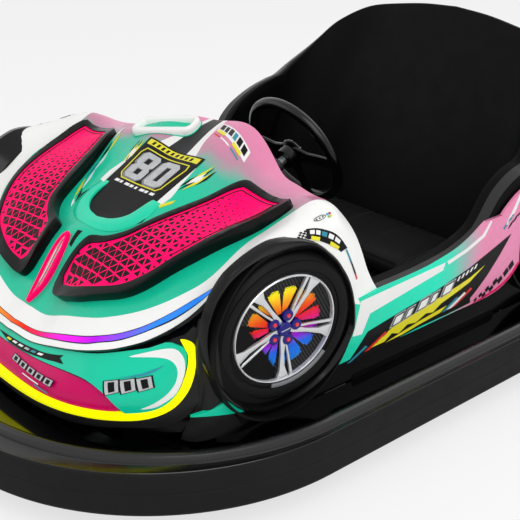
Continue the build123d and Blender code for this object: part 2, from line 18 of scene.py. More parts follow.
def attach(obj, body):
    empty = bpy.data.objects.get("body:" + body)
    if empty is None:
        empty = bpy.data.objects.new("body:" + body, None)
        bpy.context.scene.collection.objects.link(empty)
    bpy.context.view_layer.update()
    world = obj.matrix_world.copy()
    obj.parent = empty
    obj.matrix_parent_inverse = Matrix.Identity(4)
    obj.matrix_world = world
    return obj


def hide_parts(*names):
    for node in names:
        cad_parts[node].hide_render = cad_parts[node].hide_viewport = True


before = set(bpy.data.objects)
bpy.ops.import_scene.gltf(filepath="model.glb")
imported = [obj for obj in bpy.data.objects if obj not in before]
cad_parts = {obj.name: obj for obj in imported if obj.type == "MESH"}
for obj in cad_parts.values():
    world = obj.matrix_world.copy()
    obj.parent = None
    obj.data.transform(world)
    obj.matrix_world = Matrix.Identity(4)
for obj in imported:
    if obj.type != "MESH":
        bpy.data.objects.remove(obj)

LOG = logging.getLogger("bumper_car")
Line = Sequence[Sequence[float]]
Corners = tuple[tuple[float, float], ...]
# corners nearer than this become one, and an edge shorter than this goes
MERGE_WITHIN = 2e-6
SLIVER = 1e-6
# edges sharper than this many degrees stay crisp, unless a piece asks for another angle
DEFAULT_CREASE = 35.0


# ---- lines and plans ----------------------------------------------------------------
def curve_through(points: Line, per_span: int = 8, closed: bool = False) -> np.ndarray:
    """Smooth line through given points.

    Args:
        points: The places the line passes through, in any number of coordinates.
        per_span: Steps between two neighbouring places.
        closed: Whether the line returns to its start.

    Returns:
        One row for each step; a closed line doesn't repeat its start.
    """
    p = np.array(points, float)
    if closed:
        p = np.vstack([p[-1], p, p[0], p[1]])
    else:
        p = np.vstack([2 * p[0] - p[1], p, 2 * p[-1] - p[-2]])
    rows = []
    for a, b, c, d in zip(p, p[1:], p[2:], p[3:]):
        for t in np.arange(per_span) / per_span:
            rows.append(0.5 * (2 * b + (c - a) * t + (2 * a - 5 * b + 4 * c - d) * t * t
                               + (3 * b - a - 3 * c + d) * t ** 3))
    if not closed:
        rows.append(p[-2])
    return np.array(rows)


def even_steps(line: np.ndarray, step: float, closed: bool = True) -> np.ndarray:
    """The same line with a vertex at least every step, keeping its corners.

    Args:
        line: The corners, one per row.
        step: Longest run left between two vertices.
        closed: Whether the last corner joins the first.

    Returns:
        The divided line.
    """
    ends = np.roll(line, -1, axis=0) if closed else line[1:]
    rows = []
    for a, b in zip(line, ends):
        count = max(1, math.ceil(np.linalg.norm(b - a) / step))
        rows.extend(a + (b - a) * k / count for k in range(count))
    if not closed:
        rows.append(line[-1])
    return np.array(rows)


def inside(points: np.ndarray, loop: np.ndarray) -> np.ndarray:
    """Whether each point lies inside a closed loop.

    Args:
        points: Plan points, one per row.
        loop: The loop's corners.

    Returns:
        One truth value for each point.
    """
    found = np.zeros(len(points), bool)
    for (ax, ay), (bx, by) in zip(loop, np.roll(loop, -1, axis=0)):
        crosses = (ay > points[:, 1]) != (by > points[:, 1])
        with np.errstate(divide="ignore", invalid="ignore"):
            at = ax + (points[:, 1] - ay) * (bx - ax) / (by - ay)
        found ^= crosses & (points[:, 0] < at)
    return found


def clearance(points: np.ndarray, loop: np.ndarray) -> np.ndarray:
    """Distance from each point to the nearest side of a closed loop.

    Args:
        points: Plan points, one per row.
        loop: The loop's corners.

    Returns:
        One distance for each point.
    """
    best = np.full(len(points), np.inf)
    for a, b in zip(loop, np.roll(loop, -1, axis=0)):
        run = b - a
        share = np.clip(((points - a) @ run) / max(run @ run, 1e-12), 0, 1)
        best = np.minimum(best, np.linalg.norm(points - a - share[:, None] * run, axis=1))
    return best


def drawn_in(loop: Line, by: float) -> np.ndarray:
    """A closed plan drawn in from its edge.

    Args:
        loop: The corners, either way round.
        by: How far each side moves inwards; negative grows the plan.

    Returns:
        The smaller plan, corner for corner.
    """
    p = np.array(loop, float)
    turn = 1.0 if np.sum(p[:, 0] * np.roll(p[:, 1], -1) - p[:, 1] * np.roll(p[:, 0], -1)) > 0 else -1.0
    before, after = p - np.roll(p, 1, axis=0), np.roll(p, -1, axis=0) - p
    before /= np.linalg.norm(before, axis=1)[:, None] + 1e-12
    after /= np.linalg.norm(after, axis=1)[:, None] + 1e-12
    both = before + after
    normal = turn * np.column_stack([-both[:, 1], both[:, 0]])
    length = np.linalg.norm(normal, axis=1)[:, None] + 1e-12
    normal /= length
    return p + normal * by / np.clip(length / 2, 0.5, 1)


def disc(centre: Sequence[float], radius: float, count: int = 48, start: float = 0.0) -> np.ndarray:
    """A circle's corners in a plan.

    Args:
        centre: The circle's middle.
        radius: Its radius.
        count: Number of corners.
        start: Turn of the first corner, in radians.

    Returns:
        The corners, one per row.
    """
    turn = start + 2 * np.pi * np.arange(count) / count
    return np.column_stack([centre[0] + radius * np.cos(turn), centre[1] + radius * np.sin(turn)])


def flipped(line: Line) -> np.ndarray:
    """A plan line on the car's other side, with its order kept."""
    return np.array(line, float) * (-1, 1)


def mirrored(half: np.ndarray) -> np.ndarray:
    """A closed outline from its left half, which starts and ends at the middle."""
    return np.vstack([half, flipped(half[::-1])[1:-1]])


def between_lines(near: np.ndarray, far: np.ndarray) -> np.ndarray:
    """The closed outline of a strip right across the car.

    Args:
        near: One edge, from the middle to the left.
        far: The other edge, from the middle to the left.

    Returns:
        The corners, one per row.
    """
    return np.vstack([flipped(near[::-1])[:-1], near, far[::-1], flipped(far)[1:]])


# ---- meshes -------------------------------------------------------------------------
def placed(name: str, data: bpy.types.ID) -> bpy.types.Object:
    """An object at the origin, linked to the scene.

    Args:
        name: The object's name.
        data: Its mesh, lamp or camera.

    Returns:
        The object.
    """
    made = bpy.data.objects.new(name, data)
    bpy.context.scene.collection.objects.link(made)
    return made


def shade(mesh: bpy.types.Mesh, crease: float) -> None:
    """Shades a mesh smoothly, with edges sharper than a number of degrees left crisp."""
    mesh.shade_smooth()
    mesh.set_sharp_from_angle(angle=math.radians(crease))


def new_piece(name: str, points: Iterable, faces: Iterable,
              crease: float = DEFAULT_CREASE) -> bpy.types.Object:
    """A mesh object with merged corners, outward faces and smooth shading.

    Args:
        name: The piece's name.
        points: Corner places.
        faces: Corner numbers of each face.
        crease: Edges sharper than this many degrees stay crisp.

    Returns:
        The object, linked to the scene.
    """
    mesh = bpy.data.meshes.new(name)
    mesh.from_pydata([tuple(map(float, p)) for p in points], [], [tuple(map(int, f)) for f in faces])
    work = bmesh.new()
    work.from_mesh(mesh)
    bmesh.ops.remove_doubles(work, verts=work.verts, dist=MERGE_WITHIN)
    bmesh.ops.dissolve_degenerate(work, edges=work.edges, dist=SLIVER)
    bmesh.ops.recalc_face_normals(work, faces=work.faces)
    work.to_mesh(mesh)
    work.free()
    shade(mesh, crease)
    return placed(name, mesh)


def settle(piece: bpy.types.Object, crease: float | None = None) -> bpy.types.Object:
    """Turns a piece with modifiers into a plain mesh.

    Args:
        piece: The object whose modifiers are kept in its mesh.
        crease: Edges sharper than this many degrees are made crisp again, if given.

    Returns:
        The same object without modifiers.
    """
    seen = bpy.context.evaluated_depsgraph_get()
    mesh = bpy.data.meshes.new_from_object(piece.evaluated_get(seen), depsgraph=seen)
    piece.modifiers.clear()
    piece.data = mesh
    if crease is not None:
        shade(mesh, crease)
    return piece


def rounded(piece: bpy.types.Object, width: float, steps: int = 2, angle: float = 40.0) -> bpy.types.Object:
    """A piece with its sharp edges rounded off.

    Args:
        piece: The object.
        width: Width of the rounding.
        steps: Faces across the rounding.
        angle: Edges sharper than this many degrees are rounded.

    Returns:
        The same object.
    """
    bevel = piece.modifiers.new("rounding", "BEVEL")
    bevel.width = width
    bevel.segments = steps
    bevel.limit_method = "ANGLE"
    bevel.angle_limit = math.radians(angle)
    bevel.harden_normals = False
    return settle(piece, 45)


def one_piece(name: str, parts: Sequence[bpy.types.Object]) -> bpy.types.Object:
    """Several meshes as one piece.

    Args:
        name: The new piece's name.
        parts: The objects that go into it; they are removed.

    Returns:
        The joined object, with the parts' finishes.
    """
    work = bmesh.new()
    finishes: list[bpy.types.Material] = []
    for part in parts:
        start = len(work.faces)
        work.from_mesh(part.data)
        work.faces.ensure_lookup_table()
        for face in work.faces[start:]:
            own = part.data.materials[face.material_index] if part.data.materials else None
            if own not in finishes:
                finishes.append(own)
            face.material_index = finishes.index(own)
    mesh = bpy.data.meshes.new(name)
    work.to_mesh(mesh)
    work.free()
    for finish in finishes:
        mesh.materials.append(finish)
    for part in parts:
        bpy.data.objects.remove(part)
    return placed(name, mesh)


def other_side(piece: bpy.types.Object) -> bpy.types.Object:
    """The same piece on the car's other side.

    Args:
        piece: The piece on the left.

    Returns:
        A mirrored copy with its faces outwards and "right" in its name.
    """
    mesh = piece.data.copy()
    mesh.transform(Matrix.Diagonal((-1, 1, 1, 1)))
    mesh.flip_normals()
    return placed(piece.name.removesuffix("_left") + "_right", mesh)


def lofted(name: str, rows: Sequence[np.ndarray], loop: bool = False, ring: bool = False,
           crease: float = DEFAULT_CREASE) -> bpy.types.Object:
    """A skin through rows of points.

    Args:
        name: The piece's name.
        rows: Arrays of the same number of places.
        loop: Whether each row closes on itself.
        ring: Whether the last row joins the first.
        crease: Edges sharper than this many degrees stay crisp.

    Returns:
        The object; open ends are capped unless it is a ring.
    """
    count, width = len(rows), len(rows[0])
    faces = []
    for i in range(count if ring else count - 1):
        for j in range(width if loop else width - 1):
            a, b = i * width, (i + 1) % count * width
            k = (j + 1) % width
            faces.append((a + j, a + k, b + k, b + j))
    if loop and not ring:
        faces.append(tuple(range(width)))
        faces.append(tuple(range((count - 1) * width, count * width)))
    return new_piece(name, np.vstack(rows), faces, crease)


def turned(name: str, profile: Line, centre: Sequence[float], axis: Sequence[float],
           count: int = 64, crease: float = DEFAULT_CREASE) -> bpy.types.Object:
    """A profile turned about an axis.

    Args:
        name: The piece's name.
        profile: (radius, height along the axis) corners; a closed ring unless it starts and ends on the axis.
        centre: A point of the axis.
        axis: The axis direction.
        count: Steps round the axis.
        crease: Edges sharper than this many degrees stay crisp.

    Returns:
        The object.
    """
    along = Vector(axis).normalized()
    side = along.orthogonal().normalized()
    other = along.cross(side)
    rows = []
    for k in range(count):
        turn = 2 * math.pi * k / count
        out = side * math.cos(turn) + other * math.sin(turn)
        rows.append(np.array([Vector(centre) + out * r + along * h for r, h in profile]))
    on_axis = profile[0][0] < SLIVER and profile[-1][0] < SLIVER
    return lofted(name, rows, loop=not on_axis, ring=True, crease=crease)


def tube(name: str, line: np.ndarray, radius: float | Sequence[float], count: int = 12,
         closed: bool = False) -> bpy.types.Object:
    """A round bar along a line.

    Args:
        name: The piece's name.
        line: The middle line, one place per row.
        radius: One radius, or one for each place.
        count: Sides of the bar.
        closed: Whether the bar is a ring.

    Returns:
        The object, capped if it has ends.
    """
    ahead = np.roll(line, -1, axis=0) - np.roll(line, 1, axis=0)
    if not closed:
        ahead[0], ahead[-1] = line[1] - line[0], line[-1] - line[-2]
    side = Vector(ahead[0]).orthogonal().normalized()
    rows = []
    for place, way, r in zip(line, ahead, np.broadcast_to(radius, len(line))):
        way = Vector(way).normalized()
        side = (side - way * side.dot(way)).normalized()
        up = way.cross(side)
        rows.append(np.array([Vector(place) + (side * math.cos(t) + up * math.sin(t)) * r
                              for t in 2 * np.pi * np.arange(count) / count]))
    return lofted(name, rows, loop=True, ring=closed)


# ---- smooth surfaces ----------------------------------------------------------------
class Skin:
    """Smooth surface through given points that each have two plan numbers and a place."""

    def __init__(self, plan: np.ndarray, places: np.ndarray) -> None:
        """Solves the surface.

        Args:
            plan: Two numbers for each point.
            places: Where each point lies, three numbers each.
        """
        self.knots = plan
        count = len(plan)
        table = np.zeros((count + 3, count + 3))
        table[:count, :count] = self._pull(plan)
        table[:count, count] = table[count, :count] = 1
        table[:count, count + 1:] = plan
        table[count + 1:, :count] = plan.T
        self.weights = np.linalg.solve(table, np.vstack([places, np.zeros((3, 3))]))

    def _pull(self, plan: np.ndarray) -> np.ndarray:
        """How strongly each knot acts on each plan point."""
        return np.linalg.norm(plan[:, None] - self.knots[None], axis=2) ** 3

    def at(self, plan: Line) -> np.ndarray:
        """Places on the surface.

        Args:
            plan: Two numbers for each point.

        Returns:
            Three numbers for each point.
        """
        p = np.array(plan, float).reshape(-1, 2)
        return self._pull(p) @ self.weights[:-3] + self.weights[-3] + p @ self.weights[-2:]

    def normal(self, plan: Line) -> np.ndarray:
        """Directions square to the surface, upwards or outwards.

        Args:
            plan: Two numbers for each point.

        Returns:
            A unit vector for each point.
        """
        p = np.array(plan, float).reshape(-1, 2)
        step = 1e-4
        along = self.at(p + (step, 0)) - self.at(p - (step, 0))
        across = self.at(p + (0, step)) - self.at(p - (0, step))
        out = np.cross(along, across)
        return out / (np.linalg.norm(out, axis=1)[:, None] + 1e-15)

    def lifted(self, plan: Line, lift: float | np.ndarray) -> np.ndarray:
        """Places above the surface.

        Args:
            plan: Two numbers for each point.
            lift: Height above the surface, one number or one for each point.

        Returns:
            Three numbers for each point.
        """
        return self.at(plan) + self.normal(plan) * np.reshape(lift, (-1, 1))


Lift = float | Callable[[np.ndarray], np.ndarray]


def panel(name: str, skin: Skin, outline: Line, thick: float, lift: Lift = 0.0, step: float = 0.014,
          holes: Sequence[Line] = (), edge: float = 0.0, crease: float = DEFAULT_CREASE) -> bpy.types.Object:
    """A plate of any outline that follows a surface.

    Args:
        name: The piece's name.
        skin: The surface.
        outline: Its edge, in the surface's plan numbers.
        thick: The plate's thickness, below its top face.
        lift: Height of the top face above the surface, one number or a function of the plan.
        step: Size of its facets.
        holes: Openings through it.
        edge: Width of the rounding of its top and bottom edges.
        crease: Edges sharper than this many degrees stay crisp.

    Returns:
        The object, closed all round.
    """
    loops = [even_steps(np.array(loop, float), step) for loop in (outline, *holes)]
    low, high = loops[0].min(0), loops[0].max(0)
    xs, ys = (np.arange(a + step / 2, b, step) for a, b in zip(low, high))
    grid = np.array(np.meshgrid(xs, ys)).reshape(2, -1).T
    keep = inside(grid, loops[0])
    for loop in loops[1:]:
        keep &= ~inside(grid, loop)
    grid = grid[keep]
    margin = 0.45 * step
    for loop in loops:
        grid = grid[clearance(grid, loop) > margin]
    plan = np.vstack([*loops, grid])
    edges, start = [], 0
    for loop in loops:
        edges.extend((start + k, start + (k + 1) % len(loop)) for k in range(len(loop)))
        start += len(loop)
    corners, _, faces, _, _, _ = delaunay_2d_cdt([Vector(p) for p in plan], edges, [], 0, 1e-7)
    plan = np.array([tuple(c) for c in corners])
    middles = np.array([plan[list(f)].mean(0) for f in faces])
    kept = inside(middles, loops[0])
    for loop in loops[1:]:
        kept &= ~inside(middles, loop)
    faces = [f for f, k in zip(faces, kept) if k]
    height = lift(plan) if callable(lift) else np.full(len(plan), lift)
    top = skin.lifted(plan, height)
    base = skin.lifted(plan, height - thick)
    count = len(plan)
    sides: dict[tuple[int, int], int] = {}
    for face in faces:
        for a, b in zip(face, (*face[1:], face[0])):
            if (b, a) in sides:
                del sides[b, a]
            else:
                sides[a, b] = 1
    skirt = [(a, b, b + count, a + count) for a, b in sides]
    under = [tuple(k + count for k in reversed(f)) for f in faces]
    piece = new_piece(name, np.vstack([top, base]), [*faces, *under, *skirt], crease)
    return rounded(piece, edge) if edge else piece


# ---- finishes -----------------------------------------------------------------------
Socket = bpy.types.NodeSocket


def colour(code: str) -> tuple[float, float, float, float]:
    """A screen colour written as six hex digits, as the shader's linear numbers."""
    parts = [int(code[k:k + 2], 16) / 255 for k in (0, 2, 4)]
    return (*(c / 12.92 if c <= 0.04045 else ((c + 0.055) / 1.055) ** 2.4 for c in parts), 1.0)


def toned(code: str, share: float) -> tuple[float, float, float, float]:
    """A screen colour made lighter or darker by a share of itself."""
    return (*(min(1.0, c * share) for c in colour(code)[:3]), 1.0)


class Board:
    """The nodes of one material, with a principled shader at their end."""

    def __init__(self, name: str) -> None:
        """Starts an empty material.

        Args:
            name: The material's name.
        """
        self.finish = bpy.data.materials.new(name)
        self.finish.use_nodes = True
        self.tree = self.finish.node_tree
        self.tree.nodes.clear()
        self.shader = self.add("ShaderNodeBsdfPrincipled")
        output = self.add("ShaderNodeOutputMaterial")
        self.tree.links.new(self.shader.outputs[0], output.inputs[0])
        self.place = self.add("ShaderNodeTexCoord").outputs["Object"]

    def add(self, kind: str, **settings: object) -> bpy.types.Node:
        """Adds a node and sets its own properties.

        Args:
            kind: The node's kind.
            **settings: Its properties, such as the operation it does.

        Returns:
            The node.
        """
        node = self.tree.nodes.new(kind)
        for key, value in settings.items():
            setattr(node, key, value)
        return node

    def feed(self, node: bpy.types.Node, key: str | int, value: object) -> None:
        """Links a socket to a node's input, or sets the input to a plain value.

        Args:
            node: The node.
            key: The input's name or number.
            value: A socket or a plain value.
        """
        if isinstance(value, bpy.types.NodeSocket):
            self.tree.links.new(value, node.inputs[key])
        else:
            node.inputs[key].default_value = value

    def calc(self, operation: str, a: object, b: object = 0.0, c: object = 0.0) -> Socket:
        """The result of one arithmetic step.

        Args:
            operation: The step, such as "ADD".
            a: The first number or socket.
            b: The second one.
            c: The third one, for steps that take three.

        Returns:
            The result's socket.
        """
        node = self.add("ShaderNodeMath", operation=operation)
        for key, value in enumerate((a, b, c)):
            self.feed(node, key, value)
        return node.outputs[0]

    def along(self, way: Sequence[float], start: Sequence[float] = (0, 0, 0)) -> Socket:
        """How far a place lies along a direction, from a start point.

        Args:
            way: The direction; its length scales the result.
            start: Where the distance is zero.

        Returns:
            The distance's socket.
        """
        shift = self.add("ShaderNodeVectorMath", operation="SUBTRACT")
        self.feed(shift, 0, self.place)
        self.feed(shift, 1, tuple(start))
        dot = self.add("ShaderNodeVectorMath", operation="DOT_PRODUCT")
        self.feed(dot, 0, shift.outputs[0])
        self.feed(dot, 1, tuple(way))
        return dot.outputs["Value"]

    def noise(self, scale: float, detail: float = 2.0, stretch: Sequence[float] = (1, 1, 1)) -> Socket:
        """Cloudy numbers from 0 to 1, in the object's own space.

        Args:
            scale: How many clouds there are to a metre.
            detail: How many finer clouds lie in them.
            stretch: Scale along each axis; small numbers draw the clouds out.

        Returns:
            The numbers' socket.
        """
        mapping = self.add("ShaderNodeMapping")
        self.feed(mapping, "Vector", self.place)
        self.feed(mapping, "Scale", tuple(stretch))
        node = self.add("ShaderNodeTexNoise")
        for key, value in (("Vector", mapping.outputs[0]), ("Scale", scale), ("Detail", detail)):
            self.feed(node, key, value)
        return node.outputs["Fac"]

    def span(self, value: Socket, low: float, high: float, source: Sequence[float] = (0.3, 0.7)) -> Socket:
        """Numbers moved from one range to another, and held inside it.

        Args:
            value: The numbers.
            low: Where the new range starts.
            high: Where the new range ends.
            source: The range that they come from.

        Returns:
            The moved numbers' socket.
        """
        node = self.add("ShaderNodeMapRange")
        keys = ("Value", "From Min", "From Max", "To Min", "To Max")
        for key, number in zip(keys, (value, *source, low, high)):
            self.feed(node, key, number)
        return node.outputs["Result"]

    def mix(self, share: object, first: object, second: object, blend: str = "MIX") -> Socket:
        """Two colours mixed by a share.

        Args:
            share: How much of the second one is taken, a number or a socket.
            first: The first colour.
            second: The second colour.
            blend: The way they are mixed.

        Returns:
            The mixed colour's socket.
        """
        node = self.add("ShaderNodeMix", data_type="RGBA", blend_type=blend)
        for key, value in ((0, share), (6, first), (7, second)):
            self.feed(node, key, value)
        return node.outputs[2]

    def ramp(self, value: Socket, stops: Sequence[tuple[float, str]],
             source: Sequence[float] = (0, 1)) -> Socket:
        """Colours laid out along a number.

        Args:
            value: The number.
            stops: Where each colour stands, in the number's own units.
            source: The lowest and highest number.

        Returns:
            The colour socket.
        """
        node = self.add("ShaderNodeValToRGB")
        self.feed(node, 0, self.span(value, 0, 1, source))
        band = node.color_ramp
        reach = source[1] - source[0]
        while len(band.elements) < len(stops):
            band.elements.new(0.5)
        for element, (at, code) in zip(band.elements, stops):
            element.position = (at - source[0]) / reach
            element.color = colour(code)
        return node.outputs[0]

    def relief(self, height: Socket, depth: float, strength: float = 1.0,
               under: Socket | None = None) -> Socket:
        """A surface relief from a height, on top of another relief if given.

        Args:
            height: The height, from 0 to 1.
            depth: How tall the relief stands, in metres.
            strength: How clearly it shows.
            under: The relief beneath it.

        Returns:
            The relief's socket.
        """
        node = self.add("ShaderNodeBump")
        for key, value in (("Strength", strength), ("Distance", depth), ("Height", height)):
            self.feed(node, key, value)
        if under is not None:
            self.feed(node, "Normal", under)
        self.feed(self.shader, "Normal", node.outputs[0])
        return node.outputs[0]


CLOUD_DETAIL = 4.0
# worn and handled spots are smaller than the colour's clouds
HANDLED_SCALE, HANDLED_DETAIL = 2.5, 3.0
SMOOTHEST = 0.02
COAT_ROUGHNESS = 0.06


@dataclass(frozen=True)
class Finish:
    """A plain finish: one colour with soft mottling, uneven gloss and a fine grain."""

    name: str
    code: str
    rough: float = 0.4
    metal: float = 0.0
    level: float = 0.5
    coat: float = 0.0
    # how far the colour and the gloss stray from their mean, and how many clouds of them there are to a metre
    mottle: float = 0.05
    uneven: float = 0.06
    cloud: float = 9.0
    # how many grains there are to a metre, and how tall they stand
    grain: float = 900.0
    depth: float = 0.00006
    glow: float = 0.0
    stretch: tuple[float, float, float] = (1.0, 1.0, 1.0)

    def tint(self, board: Board) -> Socket:
        """The finish's colour: mottled by a soft cloud.

        Args:
            board: The material's nodes.

        Returns:
            The colour's socket.
        """
        share = board.span(board.noise(self.cloud, CLOUD_DETAIL, self.stretch), 0, 1)
        return board.mix(share, toned(self.code, 1 - self.mottle), toned(self.code, 1 + self.mottle))

    def build(self) -> bpy.types.Material:
        """Makes the material.

        Returns:
            The material, ready to be put on a piece.
        """
        board = Board(self.name)
        shade = self.tint(board)
        board.feed(board.shader, "Base Color", shade)
        if self.glow:
            board.feed(board.shader, "Emission Color", shade)
            board.feed(board.shader, "Emission Strength", self.glow)
        handled = board.noise(self.cloud * HANDLED_SCALE, HANDLED_DETAIL, self.stretch)
        smoothest = max(SMOOTHEST, self.rough - self.uneven)
        board.feed(board.shader, "Roughness", board.span(handled, smoothest, self.rough + self.uneven))
        for key, value in (("Metallic", self.metal), ("Specular IOR Level", self.level),
                           ("Coat Weight", self.coat), ("Coat Roughness", COAT_ROUGHNESS)):
            board.feed(board.shader, key, value)
        self.texture(board)
        return board.finish

    def texture(self, board: Board) -> None:
        """The finish's fine relief."""
        board.relief(board.noise(self.grain, 2.0, self.stretch), self.depth)


@dataclass(frozen=True)
class FadeFinish(Finish):
    """A paint that fades from colour to colour along a direction."""

    way: tuple[float, float, float] = (0.0, 1.0, 0.0)
    stops: tuple[tuple[float, str], ...] = ()
    wander: float = 0.0

    def tint(self, board: Board) -> Socket:
        """The colours along the direction, with a slightly uneven front.

        Args:
            board: The material's nodes.

        Returns:
            The colour's socket.
        """
        reach = board.along(self.way)
        if self.wander:
            reach = board.calc("ADD", reach, board.span(board.noise(14.0, 2.0), -self.wander, self.wander))
        shade = board.ramp(reach, self.stops, (self.stops[0][0], self.stops[-1][0]))
        cloud = board.span(board.noise(self.cloud, CLOUD_DETAIL), 1 - self.mottle, 1.0)
        return board.mix(1.0, shade, cloud, "MULTIPLY")


@dataclass(frozen=True)
class CarbonFinish(Finish):
    """Black weave-like ground of the dummy wheels: slanted ribs in relief, with a painted sheen of lighter
    grey along them.
    """

    pitch: float = 0.0066

    def tint(self, board: Board) -> Socket:
        """Lighter grey along the ribs on a black ground: a painted sheen."""
        return board.mix(self.ribs(board), colour("0A0A0B"), colour("343436"))

    def ribs(self, board: Board) -> Socket:
        """A smooth wave across the slanted ribs."""
        turns = board.calc("MULTIPLY", board.along((0, 0.86, 0.5)), 2 * math.pi / self.pitch)
        return board.span(board.calc("SINE", turns), 0, 1, (-0.4, 0.9))

    def texture(self, board: Board) -> None:
        """The ribs stand up a little."""
        board.relief(self.ribs(board), 0.0004)


@dataclass(frozen=True)
class TreadFinish(Finish):
    """Rubber with a sanded bloom and fine mould marks."""

    def texture(self, board: Board) -> None:
        """Grain over long shallow marks."""
        coarse = board.relief(board.noise(160.0, 3.0), 0.0002, 0.5)
        board.relief(board.noise(self.grain, 2.0), self.depth, 1.0, coarse)


@dataclass(frozen=True)
class LeatherFinish(Finish):
    """Pebbled seat cover with creases between the pebbles."""

    def texture(self, board: Board) -> None:
        """Cells for the pebbles and a soft cloud for the stretch of the cover.

        Args:
            board: The material's nodes.
        """
        cells = board.add("ShaderNodeTexVoronoi", feature="DISTANCE_TO_EDGE")
        board.feed(cells, "Vector", board.place)
        board.feed(cells, "Scale", 420.0)
        pebble = board.relief(board.span(cells.outputs["Distance"], 0, 1, (0.0, 0.25)), 0.0003, 0.8)
        board.relief(board.noise(40.0, 3.0), 0.0006, 0.4, pebble)


@dataclass(frozen=True)
class MetalFinish(Finish):
    """Bare or painted metal with drawn marks along one direction."""

    def texture(self, board: Board) -> None:
        """Long thin marks."""
        board.relief(board.noise(260.0, 3.0, (1.0, 0.06, 1.0)), self.depth)


@dataclass(frozen=True)
class PlateFinish(Finish):
    """Raised-pattern floor sheet."""

    def texture(self, board: Board) -> None:
        """Short bars, turned alternately, over a fine grain.

        Args:
            board: The material's nodes.
        """
        brick = board.add("ShaderNodeTexBrick")
        for key, value in (("Vector", board.place), ("Scale", 26.0), ("Mortar Size", 0.03)):
            board.feed(brick, key, value)
        bars = board.relief(brick.outputs["Fac"], 0.0008, 0.6)
        board.relief(board.noise(self.grain, 2.0), self.depth, 1.0, bars)


RAINBOW = ((-0.47, "FFE600"), (-0.2, "FFC81E"), (-0.1, "FF9A14"), (-0.02, "FF6414"), (0.04, "FF1E00"),
           (0.09, "FF0A5A"), (0.15, "FF0ACD"), (0.20, "F00AFA"), (0.25, "B400FF"), (0.30, "7850FF"),
           (0.345, "2882FF"), (0.47, "1482FF"))
BODY_FADE = ((-0.60, "12C79F"), (-0.42, "14CFA6"), (-0.365, "3FC3A4"), (-0.325, "C48FA6"), (-0.28, "E288AE"),
             (-0.20, "EC8CB4"))
# the flank's teal is lighter than the bonnet's: painted light from the key lamp on that side, ahead of the
# real fade to pink
SILL_LIT_FADE = ((-0.45, "10C9A2"), (-0.20, "1FE0B8"), (0.0, "1FEDC6"), (0.05, "4FDDC0"), (0.10, "A5B8B8"),
             (0.15, "EE93B8"), (0.24, "F092BA"))

